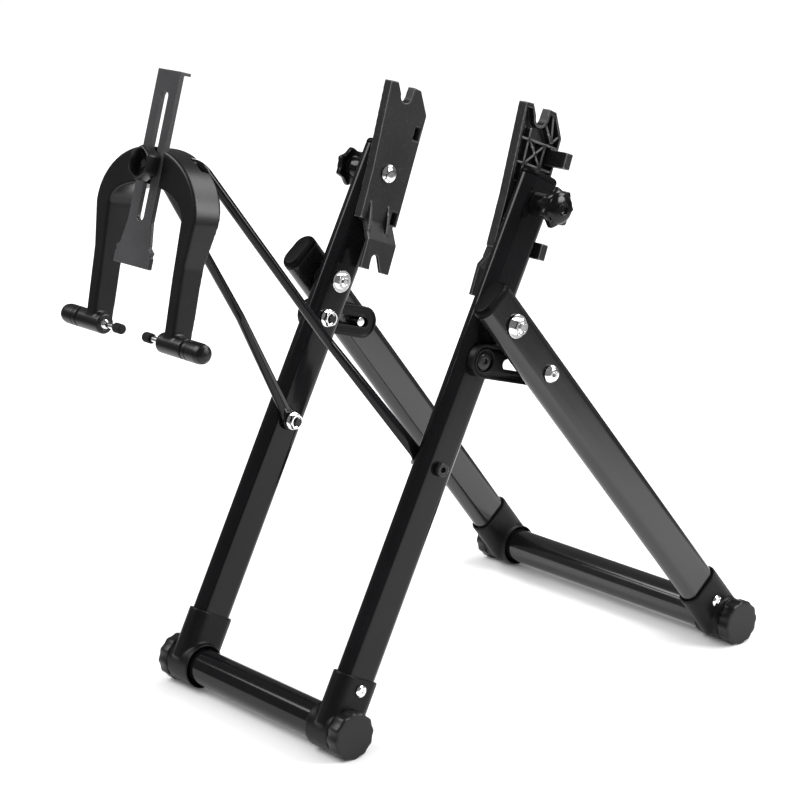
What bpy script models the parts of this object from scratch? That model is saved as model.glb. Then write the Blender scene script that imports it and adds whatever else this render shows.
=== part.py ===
"""Folding wheel truing stand, in metres with +Z up.

The stand rests on z = 0. x = 0 is its middle plane, with the right side at +X. The
front bar and the rim gauge are at -Y, the rear bar at +Y, and y = 0 is halfway
between the foremost and the rearmost points. Each piece is one named object, and
side is 1 for a right-hand piece and -1 for its left-hand twin.
"""
import math

import bmesh
import bpy
from mathutils import Matrix, Vector

GAP = 0.0003                       # between faces that touch on the real stand
BOLT_RADIUS = 0.003                # M6 hardware everywhere
BOLT_CLEARANCE = 0.0003            # hole radius over bolt radius
ROUND_STEPS = 20
SMALL_STEPS = 12
FLAT_ANGLE = 0.01                  # faces that turn less than this are one flat face

BAR_RADIUS = 0.0127                # one-inch cross bars
BAR_WALL = 0.0012
TUBE_WIDTH = 0.030                 # flat-oval uprights and legs
TUBE_THICKNESS = 0.014
TUBE_WALL = 0.0012
PLUG_INSERT = 0.008

HUB_GAP = 0.130                    # between the hub plates' inner faces
PLATE_DEPTH = 0.0077
UPRIGHT_PLANE = HUB_GAP / 2 + PLATE_DEPTH + GAP + TUBE_THICKNESS / 2
UPRIGHT_LEAN = math.radians(28.5)  # top towards the back
UPRIGHT_LENGTH = 0.386             # from the front bar's axis to the tube's top
UPRIGHT_CAP = 0.0038               # plug cap above the tube
BAIL_ALONG = 0.1827                # heights along an upright
PLATE_ALONG = UPRIGHT_LENGTH - 0.0165
PIVOT_ALONG = PLATE_ALONG - 0.0825
LINK_ALONG = PIVOT_ALONG - 0.0277

LINK_THICKNESS = 0.0056
LEG_ROOM = 0.0019                  # beside a link, between the upright and the leg
LEG_PLANE = UPRIGHT_PLANE + TUBE_THICKNESS + LINK_THICKNESS + LEG_ROOM
LEG_REACH = 1.1135 * PIVOT_ALONG   # pivot to rear bar, seen from the side
LEG_LEAN = -math.acos(PIVOT_ALONG * math.cos(UPRIGHT_LEAN) / LEG_REACH)
LEG_SPLAY = math.atan(0.0343)      # the legs spread towards their feet
FOOT_PLANE = LEG_PLANE + LEG_REACH * math.tan(LEG_SPLAY)
LEG_TOP = 0.022                    # tube above the pivot
LEG_CAP = 0.005
SLOT_BOLT_ALONG = 0.0476           # pivot down to the slot bolt

SOCKET_WALL = 0.002                # moulded corner connectors
SOCKET_CLEARANCE = 0.0003
SOCKET_FLOOR = BAR_RADIUS + GAP + 0.0014
FRONT_SOCKET = SOCKET_FLOOR + 0.0223
REAR_SOCKET = SOCKET_FLOOR + 0.0241
RIVET_ALONG = SOCKET_FLOOR + 0.0143
REAR_RIVET_ALONG = SOCKET_FLOOR + 0.0071
SLEEVE_RADIUS = BAR_RADIUS + GAP + 0.0027
SOCKET_HALF = TUBE_THICKNESS / 2 + SOCKET_CLEARANCE + SOCKET_WALL
FRONT_SPREAD = (0.014, SOCKET_HALF + 0.0002)  # sleeves, inward and outward of a tube
REAR_SPREAD = (0.0115, SOCKET_HALF + 0.0025)
MOUTH_RADIUS = BAR_RADIUS + 0.0021
MOUTH_DEPTH = 0.003
RIVET_HEAD = (0.0042, 0.0017)      # radius and height
RIVET_SHANK = 0.0022

CAP_RADIUS = SLEEVE_RADIUS + 0.0008
CAP_THICKNESS = 0.0097             # scalloped end caps, the stand's four feet
CAP_LOBES = 12
CAP_SCALLOP = 0.0008
CAP_PLUG = 0.014
FOOT_FLAT = 0.0006                 # cut off each cap where it meets the floor

SPACER_RADIUS = 0.008
WASHER_RADIUS = 0.008
WASHER_THICKNESS = 0.0012
HEX_RADIUS = 0.0057
HEX_HEIGHT = 0.004
SMALL_FLANGE = 0.0063
THREAD_END = 0.0012                # a bolt's end past its nut
HEX_SOCKET = (0.0022, 0.0023)      # radius and depth
BUTTON_HEIGHT = 0.0034
SCREW_HEAD = (0.0049, 0.0038)

LINK_HALF_WIDTH = 0.0115
LINK_SLOT_NEAR = 0.0199            # slot ends, from the link's own pivot
LINK_SLOT_FAR = 0.0475
LINK_RIM = 0.0016
LINK_POCKET = 0.0012
LINK_HEAD = 0.006
LINK_RECESS = (LINK_HEAD + 0.0012, 0.0022)
LINK_ISLAND = 35                   # degrees that the bolt's boss wraps towards the slot
SLOT_CLEARANCE = 0.0003
SLOT_PIN_RADIUS = BOLT_RADIUS + 0.0002

PLATE_LEAN = math.radians(21.8)    # plates: (y, z) from the bolt, across and along
PLATE_FLOOR = 0.0026
PLATE_RIM = 0.0018
PLATE_REAR = 0.0206
PLATE_FRONT = (-0.0142, -0.0150, -0.0198)  # at the bottom, the bolt and the top
PLATE_BOTTOM = -0.035
PLATE_TOP = 0.0636
PLATE_SHOULDER = 0.0475            # where the rear edge turns in
PLATE_NOSE = 0.0096                # rear end of the top edge
PLATE_HUB = 0.0115                 # half height of the solid band at the bolt
RIB_THICKNESS = 0.0016
RIB_LEVELS = (0.0240, 0.0400)
RIB_POSTS = (-0.0070, 0.0080)
RIB_NODE = (0.0125, 0.0425)
BLOCK_STEP = 0.0085                # the lower block stands in from the plate's face
BLOCK_WALL = 0.003
BLOCK_FRONT = -0.0095
BLOCK_REAR = 0.0175
BLOCK_TOP = -0.048
BLOCK_BOTTOM = -0.0692
BLOCK_LAP = 0.002                  # how far the block reaches up into the plate
BLOCK_ROOM = (-0.0555, -0.0515)
GUSSET_SPAN = (-0.0225, -0.0412, -0.0435)
GUSSET_REACH = (0.0041, 0.0035)
GUSSET_PLACES = (-0.0082, 0.0088)
GUSSET_HALF = 0.0009
AXLE_SLOT = 0.005                  # half the width of the upper slot
AXLE_SLOT_CENTRE = (-0.0026, 0.056)
SLOT_FLARE = 0.0052                # the slots' lead-in on one side
SLOT_CHAMFER = 0.0006
SMALL_SLOT = 0.0032
SMALL_SLOT_CENTRE = (0.0014, -0.061)
PEG_LENGTH = 0.016
PEG_FRONT = 0.0132
PEG_SIDE = (0.0062, 0.011)         # along and across the plate's rear edge
PEG_PLACES = (0.033, -0.0295)
PEG_WALL = 0.0014

STAR_RADIUS = 0.0155
STAR_LOBES = 7
STAR_WAIST = 0.0022
STAR_STEM = (0.008, 0.0100)        # radius and length
STAR_THICKNESS = 0.0112
STAR_DOME = (0.0105, 0.0027)
DOME_HEAD = (0.0067, 0.0032)

BAIL_LEAN = math.radians(-33.1)    # swung forward over the front bar
ROD_RADIUS = 0.0032
BAIL_KNEE = (0.0476, 0.107)        # x, and height along the bail
BAIL_CORNER = (0.0282, 0.2543)
KNEE_RADIUS = 0.040
CORNER_RADIUS = 0.008
EYE_RADIUS = 0.0075
EYE_THICKNESS = 0.0033
EYE_NECK = 0.009                   # where the round rod begins
EYE_OPENING = 25                   # degrees each side that the eye leaves to its neck

YOKE_LEAN = math.radians(12.8)
YOKE_FRONT = 0.0185                # front face ahead of the rod's axis
YOKE_BACK = 0.0025
CROWN_HALF = 0.0532
CROWN_RISE = 0.041
CROWN_BASE = -0.034                # both half ellipses stand on this height
ARCH_HALF = 0.039
ARCH_RISE = 0.0172
ARM_OUTER = 0.0475
ARM_INNER = 0.038
ARM_KNEE = (-0.062, -0.070)        # outside and inside
ARM_SPREAD = 0.001
SCREW_HEIGHT = -0.1103             # thumb screws, below the rod's axis
SCREW_AHEAD = 0.0132
BOSS = (0.032, 0.057)
ROD_CLEARANCE = 0.0004
SNAP_HALF = 0.0029                 # the groove's mouth, narrower than the rod
GROOVE_HALF = 0.019
RELIEF_RADIUS = 0.011
RELIEF_END = 0.046

GAUGE_TILT = math.radians(4.55)    # from the yoke
GAUGE_PLACE = (-0.0180, -0.0043)   # the knob's (y, z) from the cross rod, along the yoke
GAUGE_THICKNESS = 0.0032
GAUGE_HALF = 0.012
GAUGE_TOP = 0.0596
GAUGE_BOTTOM = -0.0639
GAUGE_NECK = -0.0344
GAUGE_FLARE = 0.0190
GAUGE_NOTCH = (0.0012, -0.0556)    # depth and height
GAUGE_SLOT = BOLT_RADIUS + 0.0006
GAUGE_SLOT_ENDS = (-0.0318, 0.0426)
GAUGE_LIP = (0.005, 0.002)
CHANNEL_SIDE = 0.0004
STUD_DEPTH = 0.011
STUD_OUT = 0.0054
GAUGE_KNOB = (0.011, 0.0069)
KNOB_LOBES = 6
KNOB_RECESS = (0.006, 0.0009)      # radius and depth of the hollow in its face

SCREW_RADIUS = 0.0029
SCREW_INNER = 0.0155
SCREW_OUTER = 0.063
TIP = (0.011, 0.020)               # a 22 mm gap with both screws home
TIP_RADIUS = SCREW_RADIUS + 0.0009
THUMB_KNOB = (BOSS[1] + 2 * GAP, BOSS[1] + 0.0205)
THUMB_RADIUS = 0.0066              # also the radius of the bosses on the yoke
THUMB_DOME = 0.006

REAR_BAR_Y = PIVOT_ALONG * math.sin(UPRIGHT_LEAN) - LEG_REACH * math.sin(LEG_LEAN)
BAIL_FOOT_Y = BAIL_ALONG * math.sin(UPRIGHT_LEAN)
BAIL_FOOT_Z = BAIL_ALONG * math.cos(UPRIGHT_LEAN)
ROD_Y = BAIL_FOOT_Y + BAIL_CORNER[1] * math.sin(BAIL_LEAN)
ROD_Z = BAIL_FOOT_Z + BAIL_CORNER[1] * math.cos(BAIL_LEAN)
SCREW_Y = ROD_Y + SCREW_HEIGHT * math.sin(YOKE_LEAN) - SCREW_AHEAD * math.cos(YOKE_LEAN)
FRONT_BAR_Y = -(SCREW_Y - THUMB_RADIUS + REAR_BAR_Y + CAP_RADIUS) / 2
BAR_HEIGHT = CAP_RADIUS - FOOT_FLAT

UPRIGHT_IN = UPRIGHT_PLANE - TUBE_THICKNESS / 2
UPRIGHT_OUT = UPRIGHT_PLANE + TUBE_THICKNESS / 2
FRONT_SLEEVE = (UPRIGHT_PLANE - FRONT_SPREAD[0], UPRIGHT_PLANE + FRONT_SPREAD[1])
REAR_SLEEVE = (FOOT_PLANE - REAR_SPREAD[0], FOOT_PLANE + REAR_SPREAD[1])
BAIL_FOOT = UPRIGHT_IN - GAP - ROD_RADIUS
PLATE_FACE = HUB_GAP / 2
PLATE_OUT = UPRIGHT_IN - GAP
BLOCK_FACE = PLATE_FACE - BLOCK_STEP
LINK_IN = UPRIGHT_OUT + GAP
LINK_OUT = LINK_IN + LINK_THICKNESS
LEG_LENGTH = LEG_REACH / math.cos(LEG_SPLAY)
HOLE_RADIUS = BOLT_RADIUS + BOLT_CLEARANCE
LEG_HOLE_RADIUS = HOLE_RADIUS + TUBE_THICKNESS / 2 * math.tan(LEG_SPLAY)
WASHER_TILT = WASHER_RADIUS * math.tan(LEG_SPLAY)

SIDES = {"right": 1, "left": -1}
AXIS_TURNS = {
    "X": Matrix.Rotation(math.pi / 2, 4, "Y"),
    "Y": Matrix.Rotation(-math.pi / 2, 4, "X"),
}
PLANES = {
    "XY": Matrix.Identity(4),
    "YZ": Matrix(((0, 0, 1, 0), (1, 0, 0, 0), (0, 1, 0, 0), (0, 0, 0, 1))),
    "XZ": Matrix(((1, 0, 0, 0), (0, 0, -1, 0), (0, 1, 0, 0), (0, 0, 0, 1))),
}


# Scene, collections and materials

def clear_scene():
    """Remove whatever the file opened with."""
    for thing in list(bpy.data.objects):
        bpy.data.objects.remove(thing, do_unlink=True)


def new_collection(name):
    """A collection linked to the scene."""
    collection = bpy.data.collections.new(name)
    bpy.context.scene.collection.children.link(collection)
    return collection


def principled(name, colour, roughness, metallic=0.0):
    """A plain material of one colour."""
    material = bpy.data.materials.new(name)
    material.use_nodes = True
    shader = material.node_tree.nodes["Principled BSDF"]
    shader.inputs["Base Color"].default_value = (*colour, 1.0)
    shader.inputs["Roughness"].default_value = roughness
    shader.inputs["Metallic"].default_value = metallic
    material.diffuse_color = (*colour, 1.0)
    return material


clear_scene()
PARTS = new_collection("wheel_truing_stand")
TOOLS = new_collection("cutters")
PAINT = principled("gloss_black_paint", (0.012, 0.012, 0.013), 0.18)
MOULDED = principled("satin_black_moulding", (0.022, 0.022, 0.024), 0.46)
GAUGE_PAINT = principled("dark_grey_coat", (0.045, 0.045, 0.048), 0.42)
CHROME = principled("bright_zinc", (0.72, 0.72, 0.73), 0.16, 1.0)
BLACK_OXIDE = principled("black_oxide", (0.03, 0.03, 0.032), 0.35, 0.8)
RUBBER = principled("black_rubber", (0.015, 0.015, 0.015), 0.75)


# Frames: each returns the matrix of a place on the stand

def place(x, y, z, lean=0.0):
    """A frame at a point measured from the front bar's axis, leaning back by lean."""
    spot = Matrix.Translation((x, FRONT_BAR_Y + y, BAR_HEIGHT + z))
    return spot @ Matrix.Rotation(-lean, 4, "X")


def upright_frame(side):
    """On the front bar's axis, with +Z up an upright."""
    return place(side * UPRIGHT_PLANE, 0, 0, UPRIGHT_LEAN)


def on_upright(x, along, lean=0.0):
    """A frame at a height along the uprights."""
    return place(x, along * math.sin(UPRIGHT_LEAN), along * math.cos(UPRIGHT_LEAN), lean)


def leg_frame(side):
    """On the leg pivot, with +Z up a leg."""
    splay = Matrix.Rotation(-side * LEG_SPLAY, 4, "Y")
    return on_upright(side * LEG_PLANE, PIVOT_ALONG, LEG_LEAN) @ splay


def leg_foot_frame(side):
    """Where a leg's middle line meets the rear bar's axis, with +Z up the leg."""
    return leg_frame(side) @ Matrix.Translation((0, 0, -LEG_LENGTH))


def slot_bolt_frame(side):
    """On a leg at its slot bolt, square to the middle plane."""
    centre = leg_frame(side) @ Vector((0, 0, -SLOT_BOLT_ALONG))
    return Matrix.Translation(centre)


def link_frame():
    """On the links' pivot in the middle plane, with +Z along the slots."""
    pivot = on_upright(0, LINK_ALONG)
    reach = slot_bolt_frame(1).translation - pivot.translation
    return pivot @ Matrix.Rotation(-math.atan2(reach.y, reach.z), 4, "X")


def link_reach():
    """Distance from a link's pivot to the slot bolt."""
    reach = slot_bolt_frame(1).translation - on_upright(0, LINK_ALONG).translation
    return math.hypot(reach.y, reach.z)


def bail_frame():
    """On the bail's pivot in the middle plane, with +Z up the bail."""
    return place(0, BAIL_FOOT_Y, BAIL_FOOT_Z, BAIL_LEAN)


def yoke_frame():
    """On the bail's cross rod, with +Z up the yoke."""
    return place(0, ROD_Y, ROD_Z, YOKE_LEAN)


def screw_frame():
    """Where the thumb screws' axis crosses the middle plane."""
    return yoke_frame() @ Matrix.Translation((0, -SCREW_AHEAD, SCREW_HEIGHT))


def gauge_frame():
    """On the gauge plate's front face, with +Z up the plate and +Y into the yoke."""
    knob = Matrix.Translation((0, *GAUGE_PLACE))
    return yoke_frame() @ knob @ Matrix.Rotation(-GAUGE_TILT, 4, "X")


# Outlines

def arc(centre, radius, start, end, steps):
    """Points along an arc, both ends included, with angles in degrees."""
    points = []
    for step in range(steps + 1):
        angle = math.radians(start + (end - start) * step / steps)
        points.append((centre[0] + radius * math.cos(angle), centre[1] + radius * math.sin(angle)))
    return points


def circle(radius, centre=(0, 0), steps=ROUND_STEPS):
    """A closed circle."""
    return arc(centre, radius, 0, 360, steps)[:-1]


def flat_oval(width, thickness, steps=6):
    """A tube section that is wide along its second coordinate."""
    radius = thickness / 2
    reach = (width - thickness) / 2
    return arc((0, reach), radius, 0, 180, steps) + arc((0, -reach), radius, 180, 360, steps)


def half_ellipse(half, rise, base, steps):
    """From the right foot over the top to the left foot."""
    points = []
    for step in range(steps + 1):
        angle = math.pi * step / steps
        points.append((half * math.cos(angle), base + rise * math.sin(angle)))
    return points


def lobed(radius, lobes, depth, steps_per_lobe=4, first=90):
    """A wavy circle with a lobe at the first angle."""
    points = []
    count = lobes * steps_per_lobe
    for step in range(count):
        turn = 2 * math.pi * step / count
        reach = radius - depth * (1 - math.cos(lobes * turn)) / 2
        angle = math.radians(first) + turn
        points.append((reach * math.cos(angle), reach * math.sin(angle)))
    return points


def rounded_path(corners, bends, steps=5):
    """A path through corners whose inner ones are replaced by arcs of the given radii."""
    path = [corners[0]]
    for before, corner, after, bend in zip(corners, corners[1:], corners[2:], bends):
        back = (before - corner).normalized()
        ahead = (after - corner).normalized()
        half = back.angle(ahead) / 2
        centre = corner + (back + ahead).normalized() * bend / math.sin(half)
        start = corner + back * bend / math.tan(half) - centre
        end = corner + ahead * bend / math.tan(half) - centre
        for step in range(steps + 1):
            path.append(centre + start.slerp(end, step / steps).normalized() * bend)
    path.append(corners[-1])
    return path


# Solids

def add_object(name, mesh, frame, material=None):
    """Put a mesh into the parts collection at a frame."""
    thing = bpy.data.objects.new(name, mesh)
    thing.matrix_world = frame
    PARTS.objects.link(thing)
    if material:
        mesh.materials.append(material)
    mesh.shade_smooth()
    mesh.set_sharp_from_angle(angle=math.radians(32))
    return thing


def mesh_from_curve(curve, turn):
    """A closed mesh from a curve's evaluated shape."""
    guide = bpy.data.objects.new("guide", curve)
    TOOLS.objects.link(guide)
    bpy.context.view_layer.update()
    shape = guide.evaluated_get(bpy.context.evaluated_depsgraph_get())
    mesh = bpy.data.meshes.new_from_object(shape)
    work = bmesh.new()
    work.from_mesh(mesh)
    bmesh.ops.remove_doubles(work, verts=work.verts, dist=1e-6)
    bmesh.ops.recalc_face_normals(work, faces=work.faces)
    bmesh.ops.dissolve_limit(work, angle_limit=FLAT_ANGLE, verts=work.verts, edges=work.edges)
    bmesh.ops.transform(work, matrix=turn, verts=work.verts)
    work.to_mesh(mesh)
    work.free()
    bpy.data.objects.remove(guide, do_unlink=True)
    return mesh


def slab(name, outlines, low, high, frame, material=None, plane="XY"):
    """Outlines in a plane, the first solid and the others holes in it, made thick."""
    low, high = sorted((low, high))
    curve = bpy.data.curves.new(name, "CURVE")
    curve.dimensions = "2D"
    curve.fill_mode = "BOTH"
    curve.extrude = (high - low) / 2
    for outline in outlines:
        spline = curve.splines.new("POLY")
        spline.points.add(len(outline) - 1)
        for point, (across, up) in zip(spline.points, outline):
            point.co = (across, up, 0, 1)
        spline.use_cyclic_u = True
    turn = PLANES[plane]
    middle = turn @ Vector((0, 0, (low + high) / 2))
    mesh = mesh_from_curve(curve, Matrix.Translation(middle) @ turn)
    return add_object(name, mesh, frame, material)


def drum(name, radius, low, high, frame, material=None, axis="X", steps=ROUND_STEPS):
    """A solid cylinder along an axis of its frame."""
    low, high = sorted((low, high))
    middle = AXIS_TURNS[axis] @ Vector((0, 0, (low + high) / 2))
    work = bmesh.new()
    bmesh.ops.create_cone(work, cap_ends=True, segments=steps, radius1=radius, radius2=radius,
                          depth=high - low, matrix=Matrix.Translation(middle) @ AXIS_TURNS[axis])
    mesh = bpy.data.meshes.new(name)
    work.to_mesh(mesh)
    work.free()
    return add_object(name, mesh, frame, material)


def block(name, low, high, frame, material=None):
    """A box between two corners."""
    low = Vector(low)
    high = Vector(high)
    size = Matrix.Diagonal((*[abs(span) for span in high - low], 1))
    work = bmesh.new()
    bmesh.ops.create_cube(work, size=1, matrix=Matrix.Translation((low + high) / 2) @ size)
    mesh = bpy.data.meshes.new(name)
    work.to_mesh(mesh)
    work.free()
    return add_object(name, mesh, frame, material)


def turned(name, profile, frame, material=None, side=1, steps=SMALL_STEPS):
    """A profile of (radius, x) run from its outer end down its outer side, turned about X."""
    mesh = bpy.data.meshes.new(name)
    points = [(radius, 0, along) for radius, along in profile]
    edges = [(index, index + 1) for index in range(len(points) - 1)]
    mesh.from_pydata(points, edges, [])
    thing = add_object(name, mesh, frame @ Matrix.Rotation(side * math.pi / 2, 4, "Y"), material)
    screw = thing.modifiers.new("turn", "SCREW")
    screw.steps = steps
    screw.render_steps = steps
    screw.use_merge_vertices = True
    screw.merge_threshold = 0.00001
    screw.use_smooth_shade = True
    return thing


def use_tool(target, tool, operation):
    """Join, cut or trim one shape with another, which stays as a wire guide."""
    modifier = target.modifiers.new(tool.name, "BOOLEAN")
    modifier.operation = operation
    modifier.solver = "EXACT"
    modifier.object = tool
    tool.display_type = "WIRE"
    tool.hide_render = True
    PARTS.objects.unlink(tool)
    TOOLS.objects.link(tool)


def join(target, *tools):
    """Add shapes to a piece."""
    for tool in tools:
        use_tool(target, tool, "UNION")


def cut(target, *tools):
    """Cut shapes out of a piece."""
    for tool in tools:
        use_tool(target, tool, "DIFFERENCE")


def hole(target, radius, low, high, frame, axis="X"):
    """Drill a round hole along an axis of a frame."""
    cut(target, drum(f"{target.name}_hole", radius, low, high, frame, axis=axis, steps=SMALL_STEPS))


# Hardware

def hexagon(radius):
    """A hexagon's corners."""
    return circle(radius, steps=6)


def flange_nut(name, start, flange, frame, side, tilt=0.0):
    """A hexagon on a washer face, from its seat outward along X."""
    seat = start + tilt
    nut = turned(name, [(0, seat + WASHER_THICKNESS), (flange, seat + WASHER_THICKNESS),
                        (flange, seat), (0, seat)], frame, CHROME, side)
    low = seat + WASHER_THICKNESS / 2
    high = seat + WASHER_THICKNESS + HEX_HEIGHT
    join(nut, slab(f"{name}_hex", [hexagon(HEX_RADIUS)], side * low, side * high, frame, plane="YZ"))
    hole(nut, HOLE_RADIUS, side * (seat - HEX_HEIGHT), side * (high + HEX_HEIGHT), frame)
    return nut


def inner_nut(name, flange, along, side):
    """A nut on an upright's inner face, its hexagon towards the middle plane."""
    frame = on_upright(side * UPRIGHT_IN, along)
    return flange_nut(name, GAP, flange, frame, -side)


def rivet(name, frame, side):
    """A blind rivet whose head sits on a connector's outer face."""
    face = SOCKET_HALF
    head, height = RIVET_HEAD
    inner = TUBE_THICKNESS / 2 - 2 * TUBE_WALL
    profile = [(0, face + height), (head * 0.6, face + height * 0.95), (head, face + height / 2),
               (head, face + GAP), (RIVET_SHANK, face + GAP), (RIVET_SHANK, inner), (0, inner)]
    return turned(name, profile, frame, CHROME, side)


# Frame: front bar, uprights and their fittings

def make_bar(name, half_length, y):
    """A round cross bar with open ends."""
    outlines = [circle(BAR_RADIUS), circle(BAR_RADIUS - BAR_WALL)]
    return slab(name, outlines, -half_length, half_length, place(0, y, 0), PAINT, "YZ")


def make_oval_tube(name, low, high, frame):
    """A flat-oval tube along its frame's Z."""
    outlines = [flat_oval(TUBE_WIDTH, TUBE_THICKNESS),
                flat_oval(TUBE_WIDTH - 2 * TUBE_WALL, TUBE_THICKNESS - 2 * TUBE_WALL)]
    return slab(name, outlines, low, high, frame, PAINT)


def make_tube_plug(name, low, height, frame):
    """A moulded cap with rounded shoulders and an insert that fits the tube."""
    cap = slab(name, [flat_oval(TUBE_WIDTH, TUBE_THICKNESS)], low, low + height, frame, MOULDED)
    half = TUBE_WIDTH / 2
    corner = height * 0.8
    bottom = low - height
    profile = [(-half, bottom), (half, bottom)]
    profile += arc((half - corner, low + height - corner), corner, 0, 90, 5)
    profile += arc((corner - half, low + height - corner), corner, 90, 180, 5)
    use_tool(cap, slab(f"{name}_shape", [profile], -half, half, frame, plane="YZ"), "INTERSECT")
    slack = 2 * (TUBE_WALL + GAP)
    insert = flat_oval(TUBE_WIDTH - slack, TUBE_THICKNESS - slack)
    join(cap, slab(f"{name}_insert", [insert], low - PLUG_INSERT, low + height / 2, frame))
    return cap


def make_upright(word, side):
    """A leaning upright, drilled for everything that it carries."""
    tube = make_oval_tube(f"upright_{word}", SOCKET_FLOOR, UPRIGHT_LENGTH, upright_frame(side))
    through = TUBE_THICKNESS
    hole(tube, HOLE_RADIUS, side * TUBE_WALL, side * through,
         on_upright(side * UPRIGHT_PLANE, RIVET_ALONG, UPRIGHT_LEAN))
    for along in (BAIL_ALONG, LINK_ALONG, PIVOT_ALONG, PLATE_ALONG):
        hole(tube, HOLE_RADIUS, -through, through, on_upright(side * UPRIGHT_PLANE, along))
    make_tube_plug(f"upright_plug_{word}", UPRIGHT_LENGTH + GAP, UPRIGHT_CAP, upright_frame(side))


def make_connector(name, side, sleeve, bar_frame, tube_frame, plane, socket_top, rivet_along):
    """A moulded corner: a sleeve on the bar and a socket for the tube."""
    low = sleeve[0] - plane
    high = sleeve[1] - plane
    corner = drum(name, SLEEVE_RADIUS, side * low, side * high, bar_frame, MOULDED)
    clear = 2 * SOCKET_CLEARANCE
    wall = 2 * SOCKET_WALL + clear
    shell = flat_oval(TUBE_WIDTH + wall, TUBE_THICKNESS + wall)
    room = flat_oval(TUBE_WIDTH + clear, TUBE_THICKNESS + clear)
    join(corner, slab(f"{name}_socket", [shell], 0, socket_top, tube_frame))
    cut(corner, slab(f"{name}_room", [room], SOCKET_FLOOR - GAP, 2 * socket_top, tube_frame))
    past = SLEEVE_RADIUS
    cut(corner, drum(f"{name}_bore", BAR_RADIUS + GAP, side * (low - past), side * (high + past),
                     bar_frame, steps=ROUND_STEPS))
    mouth = side * (low + MOUTH_DEPTH)
    cut(corner, drum(f"{name}_mouth", MOUTH_RADIUS, side * (low - past), mouth, bar_frame))
    rivet_frame = tube_frame @ Matrix.Translation((0, 0, rivet_along))
    hole(corner, HOLE_RADIUS, 0, side * TUBE_WIDTH, rivet_frame)
    return rivet_frame


def cap_outline():
    """A scalloped circle whose lowest lobe is cut flat."""
    points = lobed(CAP_RADIUS, CAP_LOBES, CAP_SCALLOP, first=-90)
    return [(across, max(up, -BAR_HEIGHT)) for across, up in points[1:]]


def make_cap(name, side, start, y):
    """A scalloped end cap with a flat foot and a plug that fits the bar."""
    frame = place(0, y, 0)
    end = start + CAP_THICKNESS
    cap = slab(name, [cap_outline()], side * start, side * end, frame, MOULDED, "YZ")
    plug = BAR_RADIUS - BAR_WALL - GAP
    join(cap, drum(f"{name}_plug", plug, side * (start - CAP_PLUG), side * (start + GAP), frame))


def make_front_corner(word, side):
    """Connector, rivet and cap at one end of the front bar."""
    frame = place(side * UPRIGHT_PLANE, 0, 0)
    rivet_frame = make_connector(f"front_connector_{word}", side, FRONT_SLEEVE, frame,
                                 upright_frame(side), UPRIGHT_PLANE, FRONT_SOCKET, RIVET_ALONG)
    rivet(f"front_rivet_{word}", rivet_frame, side)
    make_cap(f"front_cap_{word}", side, FRONT_SLEEVE[1] + GAP, 0)


# Fold: pivots, legs and slotted links

def make_pivot(word, side):
    """The bolt that a leg turns on, with its spacer and outer nut."""
    frame = on_upright(0, PIVOT_ALONG)
    leg_in = LEG_PLANE - TUBE_THICKNESS / 2 - WASHER_TILT - GAP
    leg_out = LEG_PLANE + TUBE_THICKNESS / 2
    start = UPRIGHT_OUT + GAP
    spacer = drum(f"pivot_spacer_{word}", SPACER_RADIUS, side * start, side * leg_in, frame, MOULDED)
    hole(spacer, HOLE_RADIUS, side * UPRIGHT_IN, side * LEG_PLANE, frame)
    flange_nut(f"pivot_nut_{word}", leg_out + GAP, WASHER_RADIUS, frame, side, WASHER_TILT)
    seat = UPRIGHT_IN - GAP
    bolt_end = leg_out + GAP + WASHER_TILT + WASHER_THICKNESS + HEX_HEIGHT + THREAD_END
    bolt = turned(f"pivot_bolt_{word}",
                  [(0, bolt_end), (BOLT_RADIUS, bolt_end), (BOLT_RADIUS, seat), (WASHER_RADIUS, seat),
                   (WASHER_RADIUS, seat - WASHER_THICKNESS), (0, seat - WASHER_THICKNESS)],
                  frame, CHROME, side)
    top = seat - WASHER_THICKNESS / 2
    bottom = seat - WASHER_THICKNESS - HEX_HEIGHT
    join(bolt, slab(f"pivot_hex_{word}", [hexagon(HEX_RADIUS)], side * bottom, side * top, frame,
                    plane="YZ"))


def make_leg(word, side):
    """A splayed rear leg with its plug, connector, rivet and cap."""
    frame = leg_frame(side)
    leg = make_oval_tube(f"rear_leg_{word}", SOCKET_FLOOR - LEG_LENGTH, LEG_TOP, frame)
    make_tube_plug(f"leg_plug_{word}", LEG_TOP + GAP, LEG_CAP, frame)
    pivot = on_upright(side * LEG_PLANE, PIVOT_ALONG)
    hole(leg, LEG_HOLE_RADIUS, -TUBE_THICKNESS, TUBE_THICKNESS, pivot)
    hole(leg, LEG_HOLE_RADIUS, -TUBE_THICKNESS, TUBE_THICKNESS, slot_bolt_frame(side))
    foot = leg_foot_frame(side)
    plane = abs(foot.translation.x)
    rivet_frame = make_connector(f"rear_connector_{word}", side, REAR_SLEEVE,
                                 place(side * plane, REAR_BAR_Y, 0), foot, plane, REAR_SOCKET,
                                 REAR_RIVET_ALONG)
    hole(leg, HOLE_RADIUS, 0, side * TUBE_THICKNESS, rivet_frame)
    rivet(f"rear_rivet_{word}", rivet_frame, side)
    make_cap(f"rear_cap_{word}", side, REAR_SLEEVE[1] + GAP, REAR_BAR_Y)


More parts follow.
